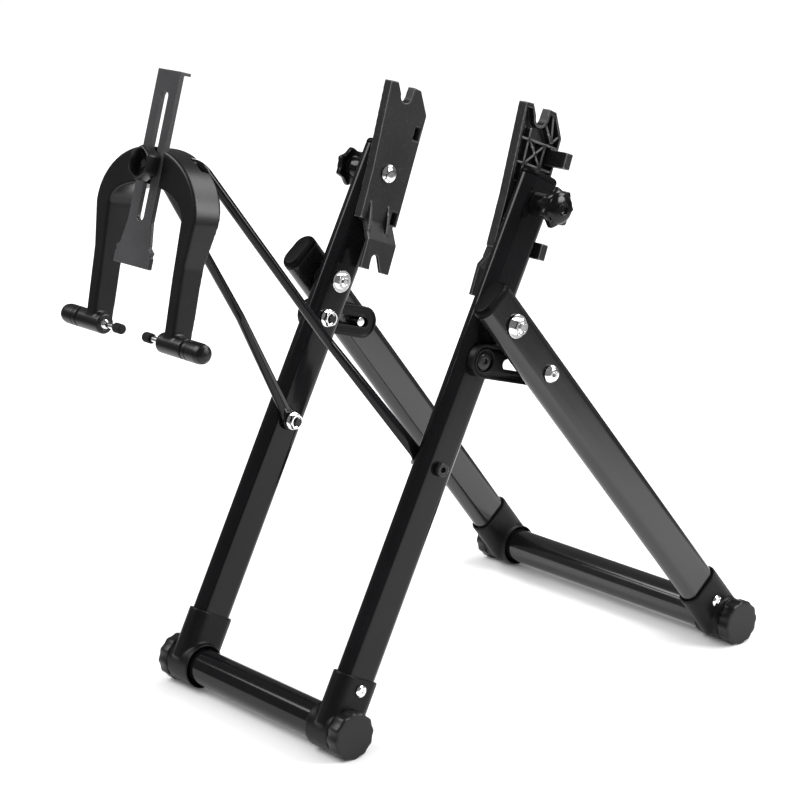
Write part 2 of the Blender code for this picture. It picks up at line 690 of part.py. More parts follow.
def make_slot_bolt(word, side):
    """A button head on the leg's outer face, with its shank through the leg."""
    frame = slot_bolt_frame(side)
    face = TUBE_THICKNESS / 2 + GAP + WASHER_TILT
    inner = -TUBE_THICKNESS / 2
    socket, depth = HEX_SOCKET
    top = face + BUTTON_HEIGHT
    profile = [(0, top - depth), (socket, top - depth), (socket * 1.1, top),
               (SMALL_FLANGE * 0.75, top - BUTTON_HEIGHT * 0.05),
               (SMALL_FLANGE * 0.95, face + WASHER_THICKNESS), (SMALL_FLANGE, face),
               (BOLT_RADIUS, face), (BOLT_RADIUS, inner), (0, inner)]
    turned(f"slot_bolt_{word}", profile, frame, CHROME, side)


def link_outline(half, far):
    """A bar with round ends that starts at the link's pivot."""
    return arc((0, far), half, 0, 180, 10) + arc((0, 0), half, 180, 360, 10)


def make_link(word, side):
    """A slotted link with raised rims and a sunk seat for its bolt's head."""
    frame = link_frame()
    slot_half = SLOT_PIN_RADIUS + SLOT_CLEARANCE
    slot = arc((0, LINK_SLOT_FAR), slot_half, 0, 180, 8)
    slot += arc((0, LINK_SLOT_NEAR), slot_half, 180, 360, 8)
    link = slab(f"link_{word}", [link_outline(LINK_HALF_WIDTH, LINK_SLOT_FAR), slot],
                side * LINK_IN, side * LINK_OUT, frame, MOULDED, "YZ")
    groove = link_outline(LINK_HALF_WIDTH - LINK_RIM, LINK_SLOT_FAR)
    rim = slot_half + LINK_RIM
    island = arc((0, LINK_SLOT_FAR), rim, 0, 180, 8)
    island += arc((0, 0), LINK_RECESS[0] + LINK_RIM, 180 - LINK_ISLAND, 360 + LINK_ISLAND, 12)
    for face, depth in ((LINK_OUT, -LINK_POCKET), (LINK_IN, LINK_POCKET)):
        cut(link, slab(f"link_pocket_{word}", [groove, island], side * (face - depth),
                       side * (face + depth), frame, plane="YZ"))
    radius, depth = LINK_RECESS
    hole(link, radius, side * (LINK_OUT - depth), side * (LINK_OUT + depth), frame)
    hole(link, HOLE_RADIUS, side * UPRIGHT_IN, side * LEG_PLANE, frame)
    head = LINK_OUT - LINK_RECESS[1] + GAP
    top = LINK_OUT - GAP
    end = UPRIGHT_IN - GAP - WASHER_THICKNESS - HEX_HEIGHT - THREAD_END
    turned(f"link_bolt_{word}",
           [(0, top), (LINK_HEAD * 0.8, top), (LINK_HEAD, (top + head) / 2), (LINK_HEAD, head),
            (BOLT_RADIUS, head), (BOLT_RADIUS, end), (0, end)],
           on_upright(0, LINK_ALONG), CHROME, side)
    inner_nut(f"link_nut_{word}", SMALL_FLANGE, LINK_ALONG, side)


def make_slot_pin(word, side):
    """The end of the slot bolt, which rides in the link's slot."""
    pin_out = abs(slot_bolt_frame(side).translation.x) - TUBE_THICKNESS / 2 - 2 * GAP
    frame = link_frame() @ Matrix.Translation((0, 0, link_reach()))
    low = side * (UPRIGHT_OUT + 2 * GAP)
    drum(f"slot_pin_{word}", SLOT_PIN_RADIUS, low, side * pin_out, frame, CHROME, steps=SMALL_STEPS)


# Hub supports: plates, bolts and star knobs

def plate_outline():
    """The plate in (y, z) from its bolt, with the axle slot open at its top."""
    across, up = AXLE_SLOT_CENTRE
    foot, waist, top = PLATE_FRONT
    points = [(PLATE_REAR, PLATE_BOTTOM), (PLATE_REAR, PLATE_SHOULDER),
              (PLATE_NOSE, PLATE_TOP - SLOT_CHAMFER), (across + AXLE_SLOT + SLOT_CHAMFER, PLATE_TOP)]
    points += arc((across, up), AXLE_SLOT, 0, -180, 10)
    points += [(across - AXLE_SLOT - SLOT_FLARE, PLATE_TOP), (top, PLATE_TOP - SLOT_CHAMFER),
               (waist, 0), (foot, PLATE_BOTTOM)]
    return points


def plate_pockets():
    """Two hollows in the plate's outer side, above and below the bolt's boss."""
    across = AXLE_SLOT_CENTRE[0]
    reach = AXLE_SLOT + PLATE_RIM
    rear = PLATE_REAR - PLATE_RIM
    foot, waist, top = PLATE_FRONT
    high = PLATE_TOP - 2 * PLATE_RIM
    low = PLATE_BOTTOM + PLATE_RIM
    upper = [(rear, PLATE_HUB), (rear, PLATE_SHOULDER - PLATE_RIM / 2), (PLATE_NOSE, high),
             (across + reach + SLOT_CHAMFER, high)]
    upper += arc(AXLE_SLOT_CENTRE, reach, -10, -170, 8)
    upper += [(across - reach - SLOT_FLARE / 2, high), (top + PLATE_RIM, high),
              (waist + PLATE_RIM, PLATE_HUB)]
    lower = [(foot + PLATE_RIM, low), (rear, low), (rear, -PLATE_HUB), (foot + PLATE_RIM, -PLATE_HUB)]
    return upper, lower


def make_rib(name, start, end, frame, side):
    """A thin wall between two (y, z) points, as deep as the plate's hollow side."""
    start = Vector((0, *start))
    end = Vector((0, *end))
    run = end - start
    turn = Matrix.Rotation(-math.atan2(run.y, run.z), 4, "X")
    half = RIB_THICKNESS / 2
    return block(name, (side * (PLATE_FACE + PLATE_FLOOR / 2), -half, 0),
                 (side * (PLATE_OUT - GAP), half, run.length), frame @ Matrix.Translation(start) @ turn)


def plate_ribs():
    """Ends of the ribs that brace the plate, as (y, z) pairs."""
    middle, high = RIB_LEVELS
    front, rear = RIB_POSTS
    edge = PLATE_REAR - PLATE_RIM / 2
    start = PLATE_HUB - RIB_THICKNESS / 2
    levels = [((PLATE_FRONT[1] + PLATE_RIM / 2, middle), (edge, middle)),
              ((PLATE_FRONT[2] + 2 * PLATE_RIM, high), (edge, high))]
    posts = [((front, start), (front - PLATE_RIM, high + 2 * PLATE_HUB / 3)),
             ((rear, start), (rear, high))]
    cross = [((front, middle), (rear, high)), ((front, high), (rear, middle))]
    across, up = AXLE_SLOT_CENTRE
    fan = [(RIB_NODE, (across + AXLE_SLOT, up - PLATE_RIM)),
           (RIB_NODE, (PLATE_NOSE - PLATE_RIM, PLATE_TOP - PLATE_RIM)),
           (RIB_NODE, (PLATE_REAR - PLATE_RIM, PLATE_SHOULDER + PLATE_RIM))]
    return levels + posts + cross + fan


def make_peg(name, height, frame, side):
    """A square hollow peg that sticks out beside the upright and stops the plate."""
    across, up = PEG_SIDE
    return block(name, (side * (PLATE_FACE + PLATE_FLOOR), PEG_FRONT, height - up / 2),
                 (side * (PLATE_OUT + PEG_LENGTH), PEG_FRONT + across, height + up / 2), frame)


def make_peg_core(name, height, frame, side):
    """The hollow inside a peg, open through the plate's inner face."""
    across, up = PEG_SIDE
    reach = PLATE_OUT + PEG_LENGTH - PEG_WALL
    return block(name, (side * (PLATE_FACE - PLATE_FLOOR), PEG_FRONT + PEG_WALL,
                        height - up / 2 + PEG_WALL),
                 (side * reach, PEG_FRONT + across - PEG_WALL, height + up / 2 - PEG_WALL), frame)


def block_outline():
    """The lower block's face in (y, z), with its small slot open at the bottom."""
    across, up = SMALL_SLOT_CENTRE
    top = PLATE_BOTTOM + BLOCK_LAP
    points = [(BLOCK_FRONT, BLOCK_BOTTOM), (across - SMALL_SLOT + SLOT_CHAMFER, BLOCK_BOTTOM)]
    points += arc((across, up), SMALL_SLOT, 180, 20, 8)
    points += [(across + SMALL_SLOT + SLOT_FLARE, BLOCK_BOTTOM), (BLOCK_REAR, BLOCK_BOTTOM),
               (BLOCK_REAR, top), (BLOCK_FRONT, top)]
    return points


def shelf_cutter(name, frame, side):
    """A wedge that slopes the block's top from the plate's face down to its own."""
    top = PLATE_BOTTOM + 2 * BLOCK_LAP
    inner = BLOCK_FACE - GAP
    clear = BLOCK_FACE - BLOCK_STEP
    profile = [(side * inner, BLOCK_TOP), (side * PLATE_FACE, PLATE_BOTTOM - BLOCK_LAP / 2),
               (side * PLATE_FACE, top), (side * clear, top), (side * clear, BLOCK_TOP)]
    return slab(name, [profile], -TUBE_WIDTH, TUBE_WIDTH, frame, plane="XZ")


def make_gusset(name, across, frame, side):
    """A small web between the plate's face and the sloping shelf."""
    top, foot, root = GUSSET_SPAN
    back = PLATE_FACE + PLATE_FLOOR / 2
    profile = [(side * back, top), (side * PLATE_FACE, top), (side * (PLATE_FACE - GUSSET_REACH[0]), foot),
               (side * (PLATE_FACE - GUSSET_REACH[1]), root), (side * back, root)]
    return slab(name, [profile], -across - GUSSET_HALF, -across + GUSSET_HALF, frame, plane="XZ")


def make_plate(word, side):
    """A moulded dropout plate: ribbed outside, with a stepped block at its foot."""
    name = f"dropout_plate_{word}"
    frame = on_upright(0, PLATE_ALONG, PLATE_LEAN)
    plate = slab(name, [plate_outline()], side * PLATE_FACE, side * PLATE_OUT, frame, MOULDED, "YZ")
    foot = slab(f"{name}_block", [block_outline()], side * BLOCK_FACE, side * PLATE_OUT, frame,
                plane="YZ")
    cut(foot, shelf_cutter(f"{name}_shelf", frame, side))
    front = BLOCK_FRONT + BLOCK_WALL
    rear = BLOCK_REAR - BLOCK_WALL
    low, high = BLOCK_ROOM
    room = [(front, low), (rear, low), (rear, high), (front, high)]
    past = PLATE_OUT + PLATE_DEPTH
    cut(foot, slab(f"{name}_room", [room], side * (BLOCK_FACE + BLOCK_WALL), side * past, frame,
                   plane="YZ"))
    join(plate, foot)
    for pocket in plate_pockets():
        cut(plate, slab(f"{name}_pocket", [pocket], side * (PLATE_FACE + PLATE_FLOOR), side * past,
                        frame, plane="YZ"))
    for start, end in plate_ribs():
        join(plate, make_rib(f"{name}_rib", start, end, frame, side))
    for height in PEG_PLACES:
        join(plate, make_peg(f"{name}_peg", height, frame, side))
    for height in PEG_PLACES:
        cut(plate, make_peg_core(f"{name}_core", height, frame, side))
    for across in GUSSET_PLACES:
        join(plate, make_gusset(f"{name}_gusset", across, frame, side))
    hole(plate, HOLE_RADIUS, side * BLOCK_FACE, side * UPRIGHT_PLANE, frame)


def make_plate_bolt(word, side):
    """A domed bolt through the plate and the upright into the star knob."""
    face = PLATE_FACE - GAP
    radius, height = DOME_HEAD
    end = UPRIGHT_OUT + STAR_STEM[1] + STAR_THICKNESS * 0.6
    profile = [(0, end), (BOLT_RADIUS, end), (BOLT_RADIUS, face), (radius, face),
               (radius, face - height * 0.25), (radius * 0.82, face - height * 0.7),
               (radius * 0.45, face - height * 0.95), (0, face - height)]
    turned(f"plate_bolt_{word}", profile, on_upright(0, PLATE_ALONG), CHROME, side)


def make_star_knob(word, side):
    """A lobed hand knob with a stem and a domed face."""
    name = f"star_knob_{word}"
    frame = on_upright(0, PLATE_ALONG)
    stem_radius, stem = STAR_STEM
    dome_radius, dome = STAR_DOME
    low = UPRIGHT_OUT + GAP
    back = UPRIGHT_OUT + stem
    face = back + STAR_THICKNESS
    middle = (back + face) / 2
    profile = [(0, face + dome), (dome_radius * 0.55, face + dome * 0.8), (dome_radius, face),
               (dome_radius, middle), (stem_radius, middle), (stem_radius, low), (0, low)]
    knob = turned(name, profile, frame, MOULDED, side, ROUND_STEPS)
    star = lobed(STAR_RADIUS, STAR_LOBES, STAR_WAIST, 8)
    join(knob, slab(f"{name}_star", [star], side * back, side * face, frame, plane="YZ"))
    hole(knob, HOLE_RADIUS, side * UPRIGHT_IN, side * (back + STAR_THICKNESS * 0.65), frame)


# Rim gauge: bail, yoke, gauge plate and thumb screws

def make_bail():
    """A bent rod between two flattened eyes."""
    frame = bail_frame()
    knee_x, knee_z = BAIL_KNEE
    corner_x, corner_z = BAIL_CORNER
    route = [Vector((-BAIL_FOOT, 0, EYE_NECK)), Vector((-knee_x, 0, knee_z)),
             Vector((-corner_x, 0, corner_z)), Vector((corner_x, 0, corner_z)),
             Vector((knee_x, 0, knee_z)), Vector((BAIL_FOOT, 0, EYE_NECK))]
    bends = [KNEE_RADIUS, CORNER_RADIUS, CORNER_RADIUS, KNEE_RADIUS]
    curve = bpy.data.curves.new("bail", "CURVE")
    curve.dimensions = "3D"
    curve.bevel_depth = ROD_RADIUS
    curve.bevel_resolution = 3
    curve.use_fill_caps = True
    path = rounded_path(route, bends)
    spline = curve.splines.new("POLY")
    spline.points.add(len(path) - 1)
    for point, spot in zip(spline.points, path):
        point.co = (*spot, 1)
    bail = add_object("bail", mesh_from_curve(curve, Matrix.Identity(4)), frame, PAINT)
    eye_out = UPRIGHT_IN - GAP
    for side in SIDES.values():
        eye = arc((0, 0), EYE_RADIUS, 90 + EYE_OPENING, 450 - EYE_OPENING, 18)
        eye += [(ROD_RADIUS, 2 * EYE_NECK), (-ROD_RADIUS, 2 * EYE_NECK)]
        join(bail, slab("bail_eye", [eye], side * (eye_out - EYE_THICKNESS), side * eye_out, frame,
                        plane="YZ"))
        hole(bail, HOLE_RADIUS, side * BLOCK_FACE, side * UPRIGHT_PLANE, frame)
    return bail


def make_bail_bolt(word, side):
    """A socket-head bolt from outside, with its nut inside the bail's eye."""
    face = UPRIGHT_OUT + GAP
    head, height = SCREW_HEAD
    socket, depth = HEX_SOCKET
    top = face + height
    end = UPRIGHT_IN - 2 * GAP - EYE_THICKNESS - WASHER_THICKNESS - HEX_HEIGHT - THREAD_END
    profile = [(0, top - depth), (socket, top - depth), (socket, top), (head * 0.9, top),
               (head, top - height / 5), (head, face), (BOLT_RADIUS, face), (BOLT_RADIUS, end),
               (0, end)]
    turned(f"bail_bolt_{word}", profile, on_upright(0, BAIL_ALONG), BLACK_OXIDE, side)
    seat = on_upright(side * (UPRIGHT_IN - GAP - EYE_THICKNESS), BAIL_ALONG)
    flange_nut(f"bail_nut_{word}", GAP, SMALL_FLANGE, seat, -side)


def yoke_outline():
    """The horseshoe in (x, z) from the cross rod's axis."""
    foot = SCREW_HEIGHT
    outer = half_ellipse(CROWN_HALF, CROWN_RISE, CROWN_BASE, 24)
    inner = half_ellipse(ARCH_HALF, ARCH_RISE, CROWN_BASE, 16)
    spread = ARM_OUTER + ARM_SPREAD
    high, low = ARM_KNEE
    points = [(ARM_OUTER, foot), (spread, high)]
    points += outer
    points += [(-spread, high), (-ARM_OUTER, foot), (-ARM_INNER, foot), (-ARM_INNER, low)]
    points += reversed(inner)
    points += [(ARM_INNER, low), (ARM_INNER, foot)]
    return points


def make_yoke():
    """The horseshoe that carries the gauge plate and the thumb screws."""
    frame = yoke_frame()
    yoke = slab("yoke", [yoke_outline()], -YOKE_BACK, YOKE_FRONT, frame, MOULDED, "XZ")
    screws = screw_frame()
    for side in SIDES.values():
        join(yoke, drum("yoke_boss", THUMB_RADIUS, side * BOSS[0], side * BOSS[1], screws))
    for side in SIDES.values():
        cut(yoke, drum("yoke_relief", RELIEF_RADIUS, side * GROOVE_HALF, side * RELIEF_END, frame))
    groove = ROD_RADIUS + ROD_CLEARANCE
    cut(yoke, drum("yoke_groove", groove, -2 * GROOVE_HALF, 2 * GROOVE_HALF, frame))
    cut(yoke, block("yoke_mouth", (-2 * GROOVE_HALF, 0, -SNAP_HALF),
                    (2 * GROOVE_HALF, 2 * YOKE_BACK, SNAP_HALF), frame))
    gauge = gauge_frame()
    side_gap = GAUGE_HALF + CHANNEL_SIDE
    floor = GAUGE_THICKNESS + GAP
    cut(yoke, block("yoke_channel", (-side_gap, -YOKE_FRONT, -CROWN_RISE),
                    (side_gap, floor, CROWN_RISE), gauge))
    hole(yoke, HOLE_RADIUS, 0, STUD_DEPTH, gauge, axis="Y")
    hole(yoke, SCREW_RADIUS + BOLT_CLEARANCE, -THUMB_KNOB[1], THUMB_KNOB[1], screws)


def gauge_outline():
    """The gauge plate in (x, z), with its flared and notched lower end."""
    notch, middle = GAUGE_NOTCH
    right = [(GAUGE_HALF, GAUGE_TOP), (GAUGE_HALF, GAUGE_NECK),
             (GAUGE_FLARE - 3 * notch, middle + 4 * notch), (GAUGE_FLARE, middle + 2 * notch),
             (GAUGE_FLARE - notch, middle), (GAUGE_FLARE, middle - notch),
             (GAUGE_FLARE, GAUGE_BOTTOM)]
    left = [(-across, up) for across, up in reversed(right)]
    return right + left


def make_gauge_plate():
    """A slotted flat plate with its top edge bent back."""
    frame = gauge_frame()
    low, high = GAUGE_SLOT_ENDS
    slot = arc((0, high), GAUGE_SLOT, 0, 180, 8) + arc((0, low), GAUGE_SLOT, 180, 360, 8)
    plate = slab("gauge_plate", [gauge_outline(), slot], -GAUGE_THICKNESS, 0, frame, GAUGE_PAINT, "XZ")
    reach, thick = GAUGE_LIP
    join(plate, block("gauge_lip", (-GAUGE_HALF, GAUGE_THICKNESS / 2, GAUGE_TOP - thick),
                      (GAUGE_HALF, GAUGE_THICKNESS + reach, GAUGE_TOP), frame))


def make_gauge_clamp():
    """The stud in the yoke and the lobed knob that clamps the gauge plate."""
    frame = gauge_frame()
    drum("gauge_stud", BOLT_RADIUS, -STUD_OUT, STUD_DEPTH - GAP, frame, CHROME, "Y", SMALL_STEPS)
    radius, thick = GAUGE_KNOB
    outline = lobed(radius, KNOB_LOBES, radius * 0.12, 8)
    knob = slab("gauge_knob", [outline], GAP, GAP + thick, frame, MOULDED, "XZ")
    hole(knob, HOLE_RADIUS, -STUD_OUT - GAP, 0, frame, axis="Y")
    hollow, depth = KNOB_RECESS
    hole(knob, hollow, -2 * thick, depth - GAP - thick, frame, axis="Y")


def make_thumb_screw(word, side):
    """A threaded rod with a rubber tip towards the rim and a knob outside."""
    frame = screw_frame()
    room = SCREW_RADIUS + BOLT_CLEARANCE
    drum(f"thumb_screw_{word}", SCREW_RADIUS, side * SCREW_INNER, side * SCREW_OUTER, frame, CHROME,
         steps=SMALL_STEPS)
    start, end = THUMB_KNOB
    turned(f"thumb_knob_{word}",
           [(0, end), (THUMB_RADIUS * 0.55, end - THUMB_DOME * 0.13),
            (THUMB_RADIUS * 0.9, end - THUMB_DOME / 2), (THUMB_RADIUS, end - THUMB_DOME),
            (THUMB_RADIUS, start + THUMB_DOME / 2), (THUMB_RADIUS * 0.88, start),
            (room, start), (room, SCREW_OUTER + GAP), (0, SCREW_OUTER + GAP)],
           frame, MOULDED, side, ROUND_STEPS)
    near, far = TIP
    turned(f"thumb_tip_{word}",
           [(0, SCREW_INNER - GAP), (room, SCREW_INNER - GAP), (room, far), (TIP_RADIUS, far),
            (TIP_RADIUS, near + TIP_RADIUS / 4), (TIP_RADIUS * 0.75, near), (0, near)],
           frame, RUBBER, side)


def main():
    """Model the whole stand."""
    make_bar("front_bar", FRONT_SLEEVE[1] - GAP, 0)
    make_bar("rear_bar", REAR_SLEEVE[1] - GAP, REAR_BAR_Y)
    for word, side in SIDES.items():
        make_upright(word, side)
        make_front_corner(word, side)
        make_pivot(word, side)
        make_leg(word, side)
        make_slot_bolt(word, side)
        make_link(word, side)
        make_slot_pin(word, side)
        make_plate(word, side)
        make_plate_bolt(word, side)
        make_star_knob(word, side)
        make_bail_bolt(word, side)
        make_thumb_screw(word, side)
    make_bail()
    make_yoke()
    make_gauge_plate()
    make_gauge_clamp()


main()
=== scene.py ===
"""Visible pieces of a folding wheel truing stand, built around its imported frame.

Lengths are metres and +Z is up. x = 0 is the middle plane, the right side is at +X and the rim
gauge at -Y. side is 1 for a right-hand piece and -1 for its left-hand twin. Each piece is
shaped in a frame of its own and then put in its place, as the CAD nodes are.
"""

import logging
import math
from collections.abc import Callable, Sequence
from dataclasses import dataclass, field, replace
from enum import Enum

import bmesh
import bpy
import numpy as np
from mathutils import Matrix, Vector


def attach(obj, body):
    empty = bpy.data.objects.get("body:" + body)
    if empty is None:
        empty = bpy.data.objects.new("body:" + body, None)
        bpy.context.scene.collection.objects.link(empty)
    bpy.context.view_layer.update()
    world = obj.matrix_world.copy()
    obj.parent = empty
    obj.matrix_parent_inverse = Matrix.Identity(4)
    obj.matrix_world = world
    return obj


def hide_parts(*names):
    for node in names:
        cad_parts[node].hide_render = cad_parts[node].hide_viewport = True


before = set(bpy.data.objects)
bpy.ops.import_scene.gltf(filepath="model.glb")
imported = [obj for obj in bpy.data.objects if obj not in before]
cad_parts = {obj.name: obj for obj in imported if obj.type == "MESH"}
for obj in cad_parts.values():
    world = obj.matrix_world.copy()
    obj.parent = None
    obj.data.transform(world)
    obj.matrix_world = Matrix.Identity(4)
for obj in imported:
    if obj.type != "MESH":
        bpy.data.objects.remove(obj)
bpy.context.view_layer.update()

LOG = logging.getLogger("truing_stand")
Point = tuple[float, float]
Triple = tuple[float, float, float]
Row = tuple[Point, ...]
Mould = tuple[float, int, int]
Reach = Callable[[float], float]
Station = tuple[Reach, float]
SIDES = {"right": 1, "left": -1}
WELD = 1e-7
CAD_WELD = 2e-6


class Plane(Enum):
    """Where an outline's across and up go; the third axis is the one it is made thick along."""

    YZ = Matrix(((0, 0, 1, 0), (1, 0, 0, 0), (0, 1, 0, 0), (0, 0, 0, 1)))
    XZ = Matrix(((1, 0, 0, 0), (0, 0, -1, 0), (0, 1, 0, 0), (0, 0, 0, 1)))


class Joining(Enum):
    """How one shape works on another."""

    ADD = "UNION"
    CUT = "DIFFERENCE"


# Shader maths

class Wave:
    """A node socket that takes part in Python arithmetic."""

    def __init__(self, graph: "Graph", socket: bpy.types.NodeSocket) -> None:
        """Wrap an output socket of a graph."""
        self.graph = graph
        self.socket = socket

    def _math(self, operation: str, first: "Wave | float", second: "Wave | float") -> "Wave":
        """A Math node on two values."""
        return self.graph.node("ShaderNodeMath", {"operation": operation}, {0: first, 1: second})

    def __add__(self, other: "Wave | float") -> "Wave":
        """self + other."""
        return self._math("ADD", self, other)

    def __radd__(self, other: float) -> "Wave":
        """other + self."""
        return self._math("ADD", other, self)

    def __sub__(self, other: "Wave | float") -> "Wave":
        """self - other."""
        return self._math("SUBTRACT", self, other)

    def __rsub__(self, other: float) -> "Wave":
        """other - self."""
        return self._math("SUBTRACT", other, self)

    def __mul__(self, other: "Wave | float") -> "Wave":
        """self * other."""
        return self._math("MULTIPLY", self, other)

    def __rmul__(self, other: float) -> "Wave":
        """other * self."""
        return self._math("MULTIPLY", other, self)

    def band(self, low: float, high: float) -> "Wave":
        """0 below low, 1 above high and smooth between."""
        return self.graph.node("ShaderNodeMapRange", {"interpolation_type": "SMOOTHSTEP"},
                               {"Value": self, "From Min": low, "From Max": high})


class Graph:
    """The node tree of one material."""

    def __init__(self, name: str) -> None:
        """Start a material with its Principled shader."""
        self.material = bpy.data.materials.new(name)
        self.material.use_nodes = True
        self.tree = self.material.node_tree
        self.shader = self.tree.nodes["Principled BSDF"]

    def node(self, kind: str, settings: dict, inputs: dict, output: int | str = 0) -> Wave:
        """Add a node.

        Args:
            kind: The node's type.
            settings: Its own properties, set before its sockets.
            inputs: A value or a link for each named socket.
            output: The output that is handed back.

        Returns:
            The chosen output.
        """
        made = self.tree.nodes.new(kind)
        for name, setting in settings.items():
            setattr(made, name, setting)
        for name, value in inputs.items():
            self.feed(made.inputs[name], value)
        return Wave(self, made.outputs[output])

    def feed(self, socket: bpy.types.NodeSocket, value: "Wave | float | Sequence[float]") -> None:
        """Link or set a socket."""
        if isinstance(value, Wave):
            self.tree.links.new(value.socket, socket)
        else:
            socket.default_value = value

    def shaded(self, inputs: dict) -> bpy.types.Material:
        """Feed the Principled shader's inputs and hand the material over."""
        for name, value in inputs.items():
            self.feed(self.shader.inputs[name], value)
        return self.material

    def noise(self, size: float, detail: float = 2.0,
              stretch: Sequence[float] = (1, 1, 1)) -> Wave:
        """Noise on the object's own coordinates.

        Args:
            size: How far apart its bumps are.
            detail: Finer layers on top.
            stretch: Scale of the pattern along each axis.

        Returns:
            A value round one half.
        """
        spot = self.node("ShaderNodeTexCoord", {}, {}, "Object")
        spot = self.node("ShaderNodeMapping", {}, {"Vector": spot, "Scale": stretch})
        return self.node("ShaderNodeTexNoise", {}, {"Vector": spot, "Scale": 1 / size,
                                                    "Detail": detail})

    def blend(self, factor: Wave, first: "Wave | Sequence[float]",
              second: "Wave | Sequence[float]") -> Wave:
        """Mix two colours."""
        mix = self.tree.nodes.new("ShaderNodeMix")
        mix.data_type = "RGBA"
        for index, value in ((0, factor), (6, first), (7, second)):
            self.feed(mix.inputs[index], value)
        return Wave(self, mix.outputs[2])


def grey(level: float) -> tuple[float, float, float, float]:
    """An opaque grey."""
    return (level, level, level, 1)


@dataclass(frozen=True)
class Wear:
    """The marks that every finish shows, with their sizes in metres."""

    cloud: float = 0.035
    cloud_band: Point = (0.3, 0.7)
    lighter: float = 1.35
    dust: float = 0.0011
    dust_band: Point = (0.66, 0.74)
    patch: float = 0.012
    patch_band: Point = (0.45, 0.65)
    scratch: float = 0.0016
    scratch_band: Point = (0.62, 0.7)
    scratch_run: Triple = (1, 6, 0.35)
    scratch_share: float = 0.5
    edge_band: Point = (0.515, 0.56)
    rougher: float = 0.12
    raised: float = 0.3


WEAR = Wear()


@dataclass(frozen=True)
class Finish:
    """A surface finish, with the sizes of its detail in metres."""

    name: str
    slot: str
    colour: Triple
    worn: Triple
    roughness: float
    wander: float
    grain: float
    height: float
    metallic: float = 0.0
    specular: float = 0.5
    scuffs: float = 0.5
    edge: float = 0.0

    def material(self) -> bpy.types.Material:
        """Make the finish's material.

        Returns:
            A node material on Object coordinates.
        """
        graph = Graph(self.name)
        cloudy = graph.noise(WEAR.cloud, 3)
        fine = graph.noise(self.grain, 3)
        dust = graph.noise(WEAR.dust, 1).band(*WEAR.dust_band)
        dust = dust * graph.noise(WEAR.patch).band(*WEAR.patch_band)
        scratch = graph.noise(WEAR.scratch, 4, WEAR.scratch_run).band(*WEAR.scratch_band)
        marks = (dust + scratch * WEAR.scratch_share) * self.scuffs
        if self.edge:
            point = graph.node("ShaderNodeNewGeometry", {}, {}, "Pointiness")
            marks = marks + point.band(*WEAR.edge_band) * self.edge
        marks = graph.node("ShaderNodeClamp", {}, {"Value": marks})
        lighter = [WEAR.lighter * part for part in self.colour]
        shade = graph.blend(cloudy.band(*WEAR.cloud_band), (*self.colour, 1), (*lighter, 1))
        rough = (cloudy - 0.5) * self.wander + (fine - 0.5) * self.wander + self.roughness
        bump = graph.node("ShaderNodeBump", {}, {"Height": fine + marks * WEAR.raised,
                                                 "Distance": self.height})
        return graph.shaded({"Base Color": graph.blend(marks, shade, (*self.worn, 1)),
                             "Roughness": rough + marks * WEAR.rougher, "Normal": bump,
                             "Metallic": self.metallic, "Specular IOR Level": self.specular})


GLOSS_PAINT = Finish("gloss_paint", "paint", (0.0035, 0.0035, 0.004), (0.03, 0.03, 0.031), 0.11,
                     0.05, 0.0022, 0.000006, specular=0.24, scuffs=0.2)
# Painted light: the same gloss black paint with a lighter colour, so the legs and rear bar look
# more lit than the uprights.
LIT_LEG_PAINT = replace(GLOSS_PAINT, name="lit_leg_paint", colour=(0.006, 0.006, 0.0065), specular=0.68,
                    roughness=0.15)
MOULDING = Finish("moulding", "moulding", (0.0032, 0.0032, 0.0034), (0.03, 0.03, 0.03), 0.37,
                  0.10, 0.0006, 0.00002, specular=0.16, scuffs=0.3, edge=0.3)
# Painted shade: the same black moulding with a darker colour, so the tube plugs look more shaded.
SHADED_PLUG_MOULDING = replace(MOULDING, name="shaded_plug_moulding", colour=(0.002, 0.002, 0.0022),
                        specular=0.07, edge=0.0)
# Painted light: the same black moulding with a lighter colour, so the end caps look more lit.
LIT_CAP_MOULDING = replace(MOULDING, name="lit_cap_moulding", colour=(0.006, 0.006, 0.0062),
                       specular=0.28, edge=0.0)
YOKE_MOULDING = replace(MOULDING, name="yoke_moulding", colour=(0.0035, 0.0035, 0.0037),
                        specular=0.34, roughness=0.33)
# Painted light: the same black moulding with a lighter colour, so the dropout plates look more lit.
LIT_PLATE_MOULDING = replace(MOULDING, name="lit_plate_moulding", colour=(0.0085, 0.0085, 0.0088),
                         worn=(0.17, 0.17, 0.17), specular=0.30, edge=1.0)
# Painted shade: the same black moulding, glossier, with a darker colour so the star knobs look more
# shaded.
SHADED_KNOB_MOULDING = replace(MOULDING, name="shaded_knob_moulding", colour=(0.002, 0.002, 0.0022),
                        specular=0.30, roughness=0.13, height=0.000004)
GAUGE_COAT = Finish("gauge_coating", "gauge_coat", (0.030, 0.030, 0.032), (0.12, 0.12, 0.12),
                    0.36, 0.10, 0.0005, 0.000018, scuffs=0.4, edge=0.4)
ZINC = Finish("bright_zinc", "zinc", (0.86, 0.86, 0.87), (0.45, 0.44, 0.43), 0.11, 0.10,
              0.0012, 0.00001, metallic=1.0, scuffs=0.6)
BLACK_OXIDE = Finish("black_oxide", "black_oxide", (0.014, 0.014, 0.015), (0.07, 0.07, 0.07),
                     0.18, 0.08, 0.0007, 0.000006, metallic=0.4, scuffs=0.3)
RUBBER = Finish("rubber", "rubber", (0.006, 0.006, 0.006), (0.03, 0.03, 0.03), 0.72, 0.14,
                0.0005, 0.00003, specular=0.2, scuffs=0.7)


@dataclass
class Coats:
    """The materials that pieces share, one for each finish."""

    made: dict[str, bpy.types.Material] = field(default_factory=dict)

    def get(self, finish: Finish) -> bpy.types.Material:
        """The material of a finish, made when it is first asked for."""
        if finish.name not in self.made:
            self.made[finish.name] = finish.material()
        return self.made[finish.name]


